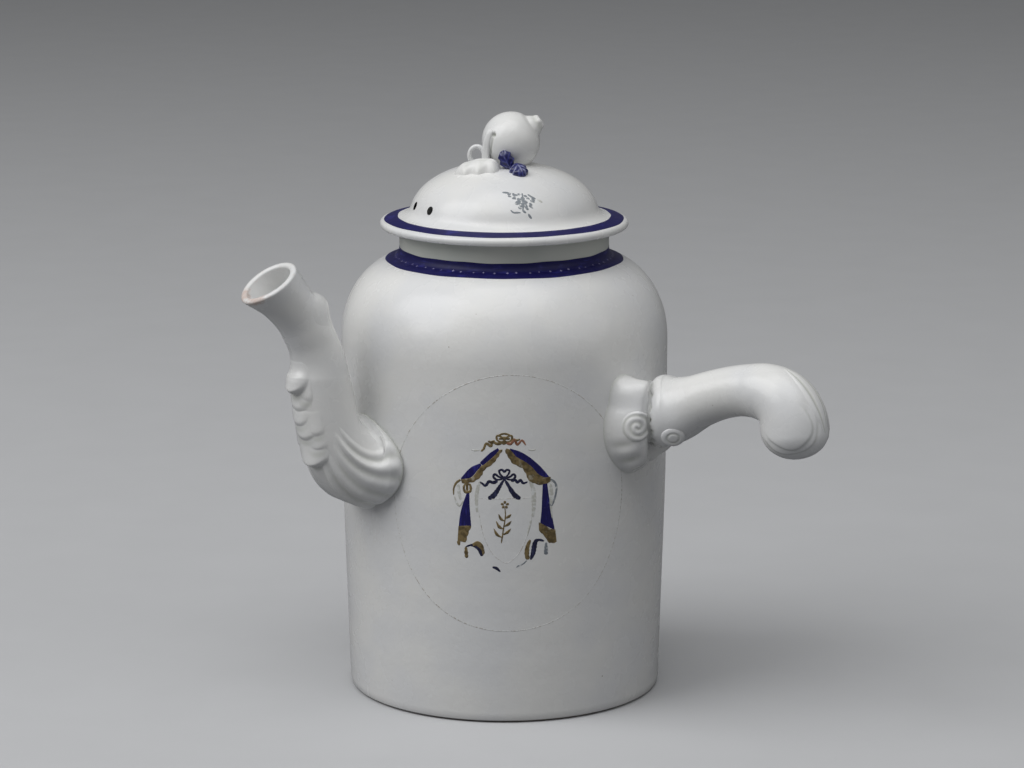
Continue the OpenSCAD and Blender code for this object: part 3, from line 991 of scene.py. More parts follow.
    def build_shoulder(self) -> None:
        """Build the domed shoulder."""
        centre, bore = self.shoulder_centre_r, self.neck_r - self.neck_t
        run_in, high_in = self.shoulder_run - self.wall_t, self.shoulder_h - self.wall_t
        end = math.acos((self.neck_r - centre) / self.shoulder_run)
        end_in = math.acos((bore + 0.01 - centre) / run_in) if bore > centre else math.pi / 2
        outline = [(centre + self.shoulder_run * math.cos(a), self.wall_h + self.shoulder_h * math.sin(a))
                   for a in np.linspace(0, end, 60)]
        outline += [(bore, self.neck_z)]
        outline += [(centre + run_in * math.cos(a), self.wall_h + high_in * math.sin(a))
                    for a in np.linspace(end_in, 0, 30)]
        self.spin("shoulder", outline)

    def build_neck(self) -> None:
        """Build the neck with a hollow curve at its foot and a rounded rim."""
        inner = self.neck_r - self.neck_t
        reach = self.neck_r + self.fillet
        foot = [(reach - self.fillet * math.sin(a),
                 self.wall_h + self.shoulder_up(reach) + 0.05 + self.fillet * (1 - math.cos(a)) * 1.1)
                for a in np.linspace(0, math.pi / 2, 10)]
        outline = [(inner, self.neck_z - 0.6),
                   (reach - 0.2, self.wall_h + self.shoulder_up(reach) - 0.5)] + foot
        outline += arc((self.neck_r - self.rim_r, self.rim_z - self.rim_r), self.rim_r, 0, 90, 8)
        outline += arc((inner + self.rim_r, self.rim_z - self.rim_r), self.rim_r, 90, 180, 8)
        # Painted shade: the neck takes the darker grey glaze for the shade of the lid's flange above it.
        self.spin("neck", outline, self.palette.grey)

    def band_path(self, count: int) -> tuple[Array, Array, Array]:
        """Outline that the shoulder's band follows, from the shoulder up the neck's foot.

        Args:
            count: Number of points.

        Returns:
            Length from the band's outer edge, radius and height.
        """
        reach = self.neck_r + self.fillet
        out = np.linspace(self.band_r + 1, reach, count // 2)
        turn = np.linspace(0, np.pi / 2, count - count // 2 + 1)[1:]
        foot_z = self.wall_h + self.shoulder_up(reach) + 0.05
        r = np.concatenate([out, reach - self.fillet * np.sin(turn), [self.neck_r]])
        z = np.concatenate([self.wall_h + self.shoulder_up(out),
                            foot_z + 1.1 * self.fillet * (1 - np.cos(turn)),
                            [foot_z + 1.1 * self.fillet + self.band_rise]])
        length = lengths(np.stack([r, z], -1))
        return length - np.interp(-self.band_r, -r, length), r, z

    def band_skin(self, along: Array, a: Array, lift: float) -> Array:
        """Points of the shoulder or the neck's foot.

        Args:
            along: Length from the band's outer edge towards the neck.
            a: Angle in radians.
            lift: Distance off the skin.

        Returns:
            The points.
        """
        length, path_r, path_z = self.band_path(60)
        r, z = np.interp(along, length, path_r), np.interp(along, length, path_z)
        step = np.stack([np.interp(along + 0.2, length, path_r) - r,
                         np.interp(along + 0.2, length, path_z) - z])
        step = step / np.hypot(*step)
        return self.shaped(polar(r, a, z)) + lift * polar(step[1], a, -step[0])

    def build_band(self) -> None:
        """Build the blue band from the shoulder up onto the neck's foot, with its faint stars."""
        a = np.linspace(0, 2 * np.pi, 721)[:-1]
        width = self.band_path(60)[0][-1] - 0.3
        inner = width + 0.12 * np.sin(7 * a + 1) + 0.08 * np.sin(17 * a)
        outer = 0.16 * np.sin(5 * a + 0.7) + 0.1 * np.sin(13 * a + 2)
        blue = band(self.band_skin, (outer, inner), a, 18, 0.06)
        self.piece("shoulder_band", blue, self.palette.band_blue)
        stars = [self.star(0.52 * width + 0.2 * math.sin(2.3 * i),
                           2 * math.pi * (i + 0.12 * math.sin(3.7 * i)) / self.stars,
                           0.5 + 0.1 * math.sin(5.1 * i)) for i in range(self.stars)]
        self.piece("shoulder_band_stars", Shape.joined(stars), self.palette.star)

    def star(self, along: float, angle: float, size: float) -> Shape:
        """One small star of the band, as a thin lens with four points.

        Args:
            along: Length from the band's outer edge at which it lies.
            angle: Its direction in radians.
            size: Half its width.

        Returns:
            The star.
        """
        turn = np.linspace(0, 2 * np.pi, 17)[:-1]
        spread = size * (0.55 + 0.45 * np.abs(np.cos(2 * turn)))
        rows = [self.band_skin(along + share * spread * np.cos(turn),
                               angle + share * spread * np.sin(turn) / self.band_r, lift)
                for share, lift in ((0.05, 0.11), (0.6, 0.1), (1.0, 0.07), (1.0, -0.1), (0.05, -0.1))]
        return loft(np.stack(rows))


def sheet_normals(points: Array, away_from: Array) -> Array:
    """Normals of a sheet of points, turned away from a point or from a line of points.

    Args:
        points: Rows by columns by 3.
        away_from: Where the normals point away from, in a form that fits points.

    Returns:
        Unit normals of the same form.
    """
    normal = unit(np.cross(np.gradient(points, axis=0), np.gradient(points, axis=1)))
    turn = np.sign(np.sum(normal * (points - away_from), -1, keepdims=True))
    return normal * np.where(turn == 0, 1, turn)


@dataclass(kw_only=True)
class Limb(Part):
    """Sub-assembly that stands out from the body's side on a bent middle line. Its own X runs outwards.

    Attributes:
        body: The body that it is luted to.
        drop: How far its root lies below the shoulder.
    """

    body: Body
    drop: float = 0.0

    @property
    def root_z(self) -> float:
        """Height of the root's middle."""
        return self.body.wall_h - self.drop

    @property
    def skin_x(self) -> float:
        """Radius of the body at the root's middle."""
        return float(self.body.radius(self.root_z))

    def courses(self) -> tuple[list, list]:
        """Control points of both halves of the middle line, from the body's skin and the root's middle."""
        raise NotImplementedError

    def middle(self, s: Array) -> Array:
        """Middle line at s, from 0 at its start to 1 at its end."""
        s = np.asarray(s, float)
        first, second = (bezier(c, np.clip(2 * s - half, 0, 1)) for half, c in enumerate(self.courses()))
        return np.where((s < 0.5)[..., None], first, second) + np.array([self.skin_x, self.root_z])

    def lean(self, s: Array) -> Array:
        """Direction of the middle line in radians, 0 outwards."""
        step = self.middle(np.minimum(s + 0.01, 1)) - self.middle(np.maximum(s - 0.01, 0))
        return np.arctan2(step[..., 1], step[..., 0])


# Spout

@dataclass(kw_only=True)
class Spout(Limb):
    """Moulded spout of two pressed halves with leafage.

    Attributes:
        angle: Its direction.
        drop: How far its root lies below the shoulder.
        waist_out: How far its waist stands out from the body.
        reach: How far its mouth stands out.
        rise: How far its mouth is above its root.
        root_r: Half the height of its root.
        root_side: Half the width of its root.
        mouth_r: Outer radius at the mouth.
        clay_t: Thickness of the pressed clay.
        mouth_trim: How much flatter than square the mouth is cut, in degrees.
        flare: How far the slip spreads at the root.
        side_flare: How far the root spreads further at both sides.
        tuck: Roundness of the root's edge.
        swell: Height of the soft ring where the upper leafage ends.
        pinch: How much its inner side is hollowed above the root.
        lip: How much the mouth widens at its end.
        spill: How much further it widens on the outer side.
        flute_h: Height of the flutes.
        flutes: Number of flutes on each side.
    """

    angle: float = 180.0
    drop: float = 44.0
    waist_out: float = 20.5
    reach: float = 42.5
    rise: float = 76.5
    root_r: float = 19.5
    root_side: float = 22.0
    mouth_r: float = 11.0
    clay_t: float = 2.8
    mouth_trim: float = 13.0
    flare: float = -0.4
    side_flare: float = 3.6
    tuck: float = 3.0
    swell: float = 0.3
    pinch: float = 2.8
    lip: float = 1.1
    spill: float = 0.9
    flute_h: float = 0.95
    flutes: int = 5

    def courses(self) -> tuple[list, list]:
        """Control points of both halves of the middle line, which meet at the waist."""
        w, up, out, top = self.waist_out, self.rise * 0.49, self.reach, self.rise
        low = [(0, 0), (w * 0.5, 0), (w * 0.87, up * 0.4), (w, up)]
        return low, [(w, up), (w, top * 0.655), ((w + out) * 0.46, top * 0.83), (out, top)]

    def girths(self, root: float) -> list[float]:
        """Control values of the spout's half width, from that of its root to its mouth."""
        return [root, self.root_r * 0.54, self.root_r * 0.8, self.mouth_r * 0.45, self.mouth_r]

    def lean(self, s: Array) -> Array:
        """Lean of the spout's sections in radians, upright at the root and trimmed at the mouth."""
        return super().lean(s) * np.minimum(1, s * 12) + np.radians(self.mouth_trim) * s**6

    def free(self, s: Array, a: Array, inset: float = 0.0) -> tuple[Array, Array]:
        """Points of the spout's skin where no wall holds them.

        Args:
            s: Place along the spout.
            a: Angle round it in degrees, 0 on its upper side and 180 on its outer side.
            inset: Distance inside the outer skin.

        Returns:
            The points in the spout's own frame, and their distance off the body's wall.
        """
        s, a = np.broadcast_arrays(np.asarray(s, float), np.radians(a))
        centre, lean = self.middle(s), self.lean(s)
        lip = self.lip * ease((s - 0.72) / 0.28) + self.swell * np.exp(-(((s - 0.74) / 0.045) ** 2))
        spill = self.spill * ease((s - 0.9) / 0.1) * bell((a - np.pi) / 1.1)
        high, wide = (bezier(self.girths(root), s) - inset + lip for root in (self.root_r, self.root_side))
        fold = np.degrees(np.arccos(np.cos(a)))
        at_side = bell((fold - 84) / 76)
        ramp = (3.4 + 2.6 * ease(fold / 50)) * (1 - np.exp(-s / 0.06)) * (1 - ease((s - 0.22) / 0.14))
        ramp = ramp * (1 - ease((fold - 56) / 24)) - 1.2
        pinch = self.pinch * bell((s - 0.3) / 0.14) * np.clip(np.cos(a), 0, 1)

        def spread_out(spread: Array) -> tuple[Array, ...]:
            """Distance off the wall, the wall, and the place, with the section spread by so much."""
            u, v = (high + spread + spill - pinch) * np.cos(a), (wide + spread) * np.sin(a)
            z = centre[..., 1] + u * np.cos(lean)
            x = centre[..., 0] - u * np.sin(lean)
            wall = np.sqrt(np.maximum(self.body.radius(z) ** 2 - v**2, 1.0))
            return x - wall, wall, v, z

        off, wall, v, z = spread_out(np.zeros_like(s))
        if inset:
            return np.stack([wall + off, v, z], -1), off
        held = np.clip(s / 0.022, 0, 1)
        near = np.maximum(smooth_max(off, ramp, 1.2), 0) * held
        tuck = self.tuck * (1 - np.sqrt(1 - (1 - np.minimum(near / self.tuck, 1)) ** 2)) * ease(fold / 60)
        edge = self.flare + self.side_flare * at_side
        off, wall, v, z = spread_out(edge * np.exp(-near / 5.5) - tuck)
        off = smooth_max(off, ramp, 1.2)
        off = np.where(off > 0, off * held, off)
        crotch_r = self.root_r + edge - self.tuck * ease(fold / 60)
        crotch = self.root_z + crotch_r * np.cos(a) - 0.8 * ease(s / 0.1)
        z = z + (smooth_max(z, crotch, 0.6 * ease(s / 0.05)) - z) * ease(np.cos(a) / 0.35)
        wall = np.sqrt(np.maximum(self.body.radius(z) ** 2 - v**2, 1.0))
        return np.stack([wall + off, v, z], -1), off

    def skin(self, s: Array, a: Array, inset: float = 0.0, sink: float = 1.0) -> Array:
        """Points of the spout's skin, held on the body's wall at the root.

        Args:
            s: Place along the spout.
            a: Angle round it in degrees.
            inset: Distance inside the outer skin.
            sink: How far points at the root lie in the body's wall.

        Returns:
            The points in the spout's own frame.
        """
        points, off = self.free(s, a, inset)
        low = points[..., 0] - off - sink
        points[..., 0] = np.where(np.asarray(s) <= 0, low, np.maximum(points[..., 0], low))
        return points

    def relief(self, s: Array, a: Array, height: Array, depth: float = 0.7, **fields: Array) -> Shape:
        """Closed raised form on the spout's skin.

        Args:
            s: Place along the spout, rows by columns.
            a: Angle round it in degrees, rows by columns.
            height: Height over the skin, rows by columns.
            depth: How far the form reaches into the skin.
            fields: Pooling, painted shade or wear.

        Returns:
            The form in the spout's own frame.
        """
        skin = self.skin(s, a)
        normal = sheet_normals(skin, spine(self.middle(s)))
        return slab(skin + normal * height[..., None], skin - normal * depth, **fields)

    def build(self) -> None:
        """Build all pieces of the spout."""
        half, flutes = self.half(), self.fluting()
        for name, form in (("near", lambda shape: shape), ("far", Shape.mirrored)):
            self.put(f"spout_half_{name}", "pressed", form(half))
            self.put(f"spout_flutes_{name}", "moulded", form(flutes))
        self.build_outer_leaf()
        self.build_back_leaf()

    def half(self) -> Shape:
        """The near pressed half, with its rounded lip and its worn end."""
        rows, cols, end, lip_rows = 170, 60, 0.998, 6
        s, a = np.linspace(0, 1, rows) ** 1.25 * end, np.linspace(0, 180, cols)
        grid_s, grid_a = np.meshgrid(s, a, indexing="ij")
        half = self.clay_t / 2
        top, low = self.skin(np.full(cols, end), a), self.skin(np.full(cols, end), a, self.clay_t)
        away = unit(top - low)
        ahead = self.skin(np.full(cols, 1.0), a, half) - self.skin(np.full(cols, 0.975), a, half)
        ahead = unit(ahead - np.sum(ahead * away, -1, keepdims=True) * away)
        middle = (top + low) / 2
        sheets = []
        for side, inset in ((1, 0.0), (-1, self.clay_t)):
            lips = [middle + half * (side * math.cos(turn) * away + 0.75 * math.sin(turn) * ahead)
                    for turn in np.radians(np.linspace(15, 88, lip_rows))]
            sheets.append(np.concatenate([self.skin(grid_s, grid_a, inset), np.stack(lips)]))
        wear = np.zeros((rows + lip_rows, cols))
        chipped = 0.34 + 0.3 * bell((a - 155) / 48)
        wear[-7:] = chipped
        wear[-10:-7] = chipped * np.array([[0.35], [0.6], [0.85]])
        depth = np.concatenate([s, np.ones(lip_rows)])
        pool = np.repeat(0.75 * np.exp(-((depth[:, None] * 60) ** 2)), cols, 1)
        return slab(sheets[0], sheets[1], pool=pool, wear=wear)

    def fluting(self) -> Shape:
        """The near flutes, which sweep from the outer side of the spout to its root."""
        s, a = grid((0.004, 0.44, 170), (44, 178, 150))
        off = self.free(s, a)[1]
        way = np.clip((s - 0.03) / 0.3, 0, 1.2)
        number = (160 - 12 * way - a) / (25 - 13 * np.minimum(way, 1.1))
        ridge = 0.5 + 0.5 * np.cos(2 * np.pi * number)
        ends = ease((off - 0.5) / 3.5) * (1 - ease((s - 0.13 - 0.03 * number) / 0.15))
        last = self.flutes - 0.9
        across = ease((number + 0.75) / 0.6) * (1 - ease((number - last) / 0.8))
        uneven = 0.8 + 0.4 * np.sin(2.3 * number + 1.0)
        height = self.flute_h * ridge * ends * across * uneven
        rim = ease((a - 44) / 16) * ease((178 - a) / 12) * (1 - ease((s - 0.4) / 0.04))
        rim = rim * ease((off - 0.2) / 1.2)
        height = (height + 0.02) * rim - 0.35 * (1 - rim)
        height = height - 0.25 * (1 - (ends * across) ** 0.5)
        pool = (1 - ridge) ** 3 * ends * across * 0.5 + 0.5 * np.exp(-np.maximum(off, 0) / 0.7)
        return self.relief(s, a, height, pool=np.clip(pool, 0, 1))

    def put_tips(
        self, node: str, s_range: Sequence[float], a_range: Sequence[float], counts: tuple[int, int],
        fades: tuple[float, float, float], tips: Sequence[tuple],
    ) -> None:
        """Build leaf tips that overlap like shingles.

        Args:
            node: The construction node.
            s_range: Start and end along the spout.
            a_range: Start and end round it in degrees.
            counts: Numbers of points in both directions.
            fades: How fast the form rises at its start, its end and its sides.
            tips: For each tip its s, middle angle, half width in degrees, height,
                length of its back in s and how far its edge curves back in s.
        """
        s, a = grid((*s_range, counts[0]), (*a_range, counts[1]))
        height, pool = np.full(s.shape, -0.3), np.zeros(s.shape)
        for at, middle, wide, high, back, curve in tips:
            side = (a - middle) / wide
            past = s - at - curve * side**2
            slope = np.exp(-((np.maximum(past, 0) / back / 1.3) ** 1.35))
            rise = np.where(past > 0, slope, 1 - ease(-past / 0.024))
            part = high * rise * bell(side) ** 0.7
            height = np.maximum(height, part + 0.25 * height * (part < 0.1))
            pool = np.maximum(pool, 0.55 * bell((past + 0.024) / 0.016) * bell(side))
        edge = ease((s - s_range[0]) / fades[0]) * ease((s_range[1] - s) / fades[1])
        edge = edge * ease((a - a_range[0]) / fades[2]) * ease((a_range[1] - a) / fades[2])
        self.put(node, "moulded", self.relief(s, a, height * edge - 0.35 * (1 - edge), pool=pool))

    def build_outer_leaf(self) -> None:
        """Build the leaf tips that stand off the outer side of the spout."""
        self.put_tips("spout_upper_leaf_tip", (0.385, 0.66), (130, 230), (120, 90), (0.012, 0.05, 10), [
            (0.48, 176, 38, 3.5, 0.045, 0.04), (0.43, 176, 36, 0.8, 0.03, 0.03),
            (0.462, 150, 24, 0.5, 0.03, 0.02), (0.462, 208, 24, 0.5, 0.03, 0.02),
        ])
        self.put_tips("spout_lower_leaf_tip", (0.19, 0.44), (118, 226), (120, 96), (0.012, 0.03, 12), [
            (0.245, 172, 40, 2.5, 0.034, 0.028), (0.382, 180, 34, 0.9, 0.026, 0.03),
            (0.338, 172, 38, 0.9, 0.026, 0.03), (0.3, 150, 24, 0.7, 0.026, 0.02),
            (0.3, 204, 24, 0.7, 0.026, 0.02), (0.352, 144, 22, 0.6, 0.026, 0.02),
        ])

    def build_back_leaf(self) -> None:
        """Build the leaf along the inner side, with its soft tip."""
        s, b = grid((0.35, 0.88, 170), (-1, 1, 61))
        inside = np.clip((s - 0.36) / 0.38, 0.0, 1.0)
        half = 1.6 + 8.6 * ease(inside) + 8.0 * ease((s - 0.68) / 0.12)
        a = np.degrees(b * half / bezier(self.girths(self.root_r), s))
        past = s - 0.806 + 0.05 * b**2
        crown = np.where(past < 0, np.exp(-((past / 0.05) ** 2)), np.exp(-((past / 0.055) ** 2)))
        crown = 0.45 * (1 - ease((s - 0.76) / 0.08)) + 3.5 * crown
        crown = crown * ease((s - 0.35) / 0.05) * ease((0.88 - s) / 0.04)
        height = crown * np.exp(-((b / 0.42) ** 2)) - 0.1 - 0.25 * b**4
        vein = (crown > 0.4) * ease((0.74 - s) / 0.06)
        height += (0.22 * np.exp(-np.abs(b) / 0.11) - 0.1 * np.exp(-((np.abs(b) - 0.22) / 0.1) ** 2)) * vein
        # Painted shade: this soft darker patch on the slope below the leaf's tip is the shade that the tip
        # throws, not pooled glaze.
        pool = 0.3 * bell((past + 0.08) / 0.05) * bell(b / 0.8)
        self.put("spout_back_leaf", "moulded", self.relief(s, a, height, pool=pool))


# Handle

@dataclass(kw_only=True)
class Handle(Limb):
    """Stick handle with a flared root, a ferrule and a down-turned knob.

    Attributes:
        angle: Its direction.
        drop: How far its root lies below the shoulder.
        root_r: Radius of the flared root.
        crest_out: Distance from the body to the crest.
        crest_up: How far the crest is above the root.
        shaft_r: Radius of the shaft.
        groove_r: Radius of the groove between root and ferrule.
        groove_out: How far the groove stands out from the body.
        groove_up: How far it is above the middle of the root.
        ferrule_r: Radius of the ferrule.
        ferrule_w: Width of the ferrule.
        ferrule_slope: How much the ferrule climbs for each millimetre outwards.
        knob_r: Radius of the knob.
        sweep: How far the rims sweep outwards at both sides.
        curl_r: Radius of the curl under the ferrule.
        scroll_z: Height of the scrolls on the root.
        sides: Points round each ring.
    """

    angle: float = 292.0
    drop: float = 27.5
    root_r: float = 20.5
    crest_out: float = 55.0
    crest_up: float = 19.0
    shaft_r: float = 10.2
    groove_r: float = 12.3
    groove_out: float = 5.5
    groove_up: float = 4.7
    ferrule_r: float = 14.0
    ferrule_w: float = 8.4
    ferrule_slope: float = 0.2
    knob_r: float = 13.6
    sweep: float = 5.2
    curl_r: float = 4.3
    scroll_z: float = 119.4
    sides: int = 144

    @property
    def around(self) -> Array:
        """Angles of the points round each ring, in radians."""
        return np.linspace(0, 2 * np.pi, self.sides, endpoint=False)

    @property
    def root_middle(self) -> Array:
        """Point inside the root, which its skin faces away from."""
        return np.array([self.skin_x - 6, 0, self.root_z])

    @property
    def crest_r(self) -> float:
        """Half the height of the handle at its crest."""
        return self.shaft_r * 1.08

    @property
    def towards_eye(self) -> Array:
        """Level direction in which the near side of the moulding faces."""
        return np.array([EYE_SIDE, -EYE_FRONT, 0.0])

    @property
    def sideways(self) -> Array:
        """Level direction across the near side of the moulding."""
        return np.array([EYE_FRONT, EYE_SIDE, 0.0])

    @property
    def shaft_at(self) -> Array:
        """Where the shaft starts, counted from the body's skin and the root's middle."""
        return np.array([self.groove_out + self.ferrule_w,
                         self.groove_up + self.ferrule_w * self.ferrule_slope])

    def courses(self) -> tuple[list, list]:
        """Control points of both halves of the middle line, which meet at the crest."""
        start, out, up = self.shaft_at, self.crest_out, self.crest_up
        low = [start, start + 9 * np.array([1, self.ferrule_slope]), (out - 18, up), (out, up)]
        return low, [(out, up), (out + 12, up), (out + 15, up - 8), (out + 15.5, up - 14)]

    def shaft_girth(self, s: Array | float) -> Array:
        """Half the height of the shaft at s, from 0 at the ferrule to 0.5 at the crest."""
        ends = [self.ferrule_r * 0.9, self.shaft_r * 1.06, self.shaft_r * 0.88, self.crest_r]
        return bezier(ends, 2 * np.asarray(s, float))

    def shaft_place(self, way: Array) -> Array:
        """Place s along the shaft at a distance from its start."""
        s = np.linspace(0, 0.5, 120)
        return np.interp(way, lengths(self.middle(s)), s)

    def knob_girth(self, s: Array) -> Array:
        """Half the height of the knob at s, from 0.5 at the crest to 1 at its end."""
        return self.crest_r + (self.knob_r - self.crest_r) * (1 - (2 - 2 * s) ** 2)

    @staticmethod
    def rings(centre: Array, r: Array, lean: Array, side_r: Array, a: Array) -> Array:
        """Rings across the middle line.

        Args:
            centre: Middle of each ring.
            r: Half its height.
            lean: Its lean in radians.
            side_r: Half its width.
            a: Angles round the ring in radians.

        Returns:
            Rings by angles by 3.
        """
        r, lean, side_r, a = np.broadcast_arrays(r[:, None], lean[:, None], side_r[:, None], a[None, :])
        x = centre[:, 0, None] - r * np.cos(a) * np.sin(lean)
        z = centre[:, 1, None] + r * np.cos(a) * np.cos(lean)
        return np.stack([x, side_r * np.sin(a), z], -1)

    def build(self) -> None:
        """Build all pieces of the handle."""
        self.build_root()
        self.build_scrolls()
        self.build_ferrule()
        self.build_shaft()
        self.build_knob()

    def root_skin(self, t: Array, a: Array) -> Array:
        """Points of the flared root.

        Args:
            t: Way out, from 0 at the body to 1 at the groove.
            a: Angle round it in radians, 0 at the top.

        Returns:
            The points in the handle's own frame.
        """
        t, a = np.broadcast_arrays(t, a)
        out = np.clip(t, 0, 1)
        steps = np.linspace(0, 1, 200)
        share = np.interp(out, steps, np.maximum(0, 1 - steps**2) ** 0.68)
        turn = np.degrees(np.arctan2(np.sin(a), np.cos(a)))
        outline = (1 - 0.2 * bell(turn / 34) + 0.16 * bell((turn + 40) / 28) - 0.2 * bell((turn - 38) / 60)
                   - 0.1 * bell((np.abs(turn) - 180) / 30) - 0.16 * bell((turn - 140) / 60))
        outline = 1 + (outline - 1) * share**0.6
        r = (self.groove_r + (self.root_r - self.groove_r) * share + 1.3 * np.exp(-out / 0.09)) * outline
        y, z = r * np.sin(a), self.root_z + self.groove_up * out**2 + r * np.cos(a)
        foot = np.sqrt(self.body.radius(z) ** 2 - y**2)
        face = self.skin_x + self.groove_out
        x = foot + (face - foot) * out + 1.6 * np.sin(np.pi * out) + self.swept(y) * ease(out / 0.8)
        return np.stack([np.where(t < 0, foot - 1.1, x), y, z], -1)

    def swept(self, y: Array) -> Array:
        """How far a rim at y is swept outwards from where it would stand upright."""
        return self.sweep * ease((np.abs(y) - 1.0) / 12.0)

    def build_root(self) -> None:
        """Build the flared root with the flutes of its lower shell."""
        t = np.concatenate([[-0.1], np.linspace(0, 1, 70) ** 1.1])
        grid_t, grid_a = np.meshgrid(t, self.around, indexing="ij")
        skin = self.root_skin(grid_t, grid_a)
        normal = sheet_normals(skin, self.root_middle)
        fall = np.clip(-np.cos(grid_a), 0, 1)
        flutes = 0.42 * np.cos(15 * grid_a) * ease(fall / 0.5) * bell((grid_t - 0.35) / 0.42)
        hollow = np.clip(-np.cos(15 * grid_a), 0, 1) ** 2
        pool = ease(fall / 0.5) * hollow * bell((grid_t - 0.35) / 0.4) * 0.8
        pool = np.maximum(pool, 0.6 * np.exp(-np.abs(grid_t) / 0.04))
        inward = 0.35 * unevenness(skin) * ease(grid_t / 0.2)
        skin = skin + normal * (flutes - inward)[..., None]
        tail_at = np.array([[self.skin_x + self.groove_out + 1.2, self.root_z + self.groove_up + 0.2]])
        high = np.array([self.groove_r])
        tail = self.rings(tail_at, high, np.array([0.0]), high * 0.97, self.around)
        tail[..., 0] += self.swept(tail[..., 1])
        pool = np.concatenate([pool, 0.7 * np.ones((1, self.sides))])
        self.put("handle_root", "moulded", loft(np.concatenate([skin, tail]), pool=pool))

    def build_scrolls(self) -> None:
        """Build the pair of scrolls on the root."""
        winding, shift, depth = 2.7, 2.3, 2.0
        shapes = []
        for side in (-1, 1):
            out, turn = np.linspace(0.0, 0.985, 110)[:: -side], np.linspace(152, 28, 110)
            t, a = np.meshgrid(out, np.radians(turn) * side, indexing="ij")
            skin = self.root_skin(t, a)
            normal = sheet_normals(skin, self.root_middle)
            across = EYE_FRONT * (skin[..., 0] - self.skin_x) - side * EYE_SIDE * skin[..., 1] + shift
            up = skin[..., 2] - self.scroll_z
            rho, theta = np.hypot(across, up), np.arctan2(up, across)
            ridge = 0.5 + 0.5 * np.cos(2 * np.pi * (rho / winding - theta / (2 * np.pi)))
            keep = 1 - ease((rho - 5.2) / 2.8)
            height = (0.1 + 0.32 * ridge) * keep - 1.3 * (1 - keep)
            shapes.append(slab(skin + normal * height[..., None], skin - normal * depth,
                               pool=(1 - ridge) ** 2 * keep * 0.6))
        self.put("handle_root_scroll", "moulded", Shape.joined(shapes))

    def build_ferrule(self) -> None:
        """Build the ferrule with its scalloped edge and the leaf curled under it."""
        swell = [(0, 0.86), (0.14, 0.92), (0.34, 0.98), (0.6, 1.02), (0.85, 1.015), (1.0, 1.0)]
        outline = through(swell, 200)
        t = np.linspace(0, 3.2, 110)
        past = np.maximum(t - 1, 0) / 2.2
        shaft_s = self.shaft_place(past * 2.2 * self.ferrule_w)
        over = (self.ferrule_r - self.shaft_girth(0.0)) * (1 - past) ** 2 * (1 + past) - 0.3 * past
        collar = self.ferrule_r * np.interp(t, outline[:, 0], outline[:, 1])
        r = np.where(t < 1, collar, self.shaft_girth(shaft_s) + over)
        start = np.array([self.groove_out, self.groove_up])
        centre = start + (self.shaft_at - start) * np.minimum(t, 1)[:, None]
        centre = centre + np.array([self.skin_x, self.root_z])
        centre += self.middle(shaft_s) - self.middle(0.0)
        lean = np.where(t < 1, math.atan(self.ferrule_slope) * t, self.lean(shaft_s))
        skin = self.rings(centre, r, lean, r * 0.96, self.around)
        lobes = np.abs(np.sin(8 * self.around + 0.4))[None, :]
        edge = bell((t - 0.12) / 0.3)[:, None]
        away = unit(skin - spine(centre)[:, None, :])
        rough = 0.3 * unevenness(skin * 2.1) * bell((t - 1) / 0.8)[:, None] ** 0.5
        dents = 0.75 * edge * (1 - lobes**0.6) + rough
        skin = skin - away * dents[..., None]
        pits = np.clip(np.sin(23 * self.around + 1.1) + 0.6 * np.sin(37 * self.around), 0, 1.2)[None, :]
        skin = skin - away * (0.45 * pits * bell((t - 0.1) / 0.12)[:, None])[..., None]
        skin[:, :, 0] += 0.7 * (1 - lobes**0.5) * bell(t / 0.3)[:, None]
        skin[:, :, 0] += self.swept(skin[:, :, 1]) * (1 - ease(t / 2.8))[:, None]
        pool = np.clip(edge * (1 - lobes) ** 2 * 1.2 + 0.8 * np.exp(-t / 0.06)[:, None], 0, 1)
        self.put("handle_ferrule", "moulded", loft(skin, pool=pool))
        self.build_ferrule_leaf()

    def build_ferrule_leaf(self) -> None:
        """Build the curled leaf tip under the ferrule."""
        f = np.linspace(0, 1, 40)
        swell = np.sqrt(np.maximum(np.sin(np.pi * (0.1 + 0.899 * f)), 0.0004))
        x = self.skin_x + self.groove_out + 1 + 1.7 * self.ferrule_w * f
        z = self.root_z + self.groove_up - self.ferrule_r + 1.6 + 6.6 * f**1.8
        around = np.linspace(0, 2 * np.pi, 56, endpoint=False)
        wide = 5.6 * swell * (1 - 0.12 * np.sin(9 * f))
        middle = np.stack([x, z], -1)
        skin = self.rings(middle, 2.5 * swell, np.radians(30) * f, wide, around)
        rho = np.hypot(skin[..., 0] - (self.skin_x + self.groove_out + 4.6), skin[..., 2] - z[0] - 0.6)
        crease = bell(skin[..., 1] / 1.1) * bell((f[:, None] - 0.5) / 0.5)
        dent = 0.45 * bell((rho - 2.3) / 0.8) + 0.3 * crease
        skin = skin - unit(skin - spine(middle)[:, None, :]) * dent[..., None]
        curl, far_shift = self.curl(), (-4, 0, 3)
        far = replace(curl, points=curl.points * (1, -1, 1) + far_shift)
        self.put("handle_ferrule_leaf", "moulded", Shape.joined([loft(skin, pool=dent / 0.5), curl, far]))

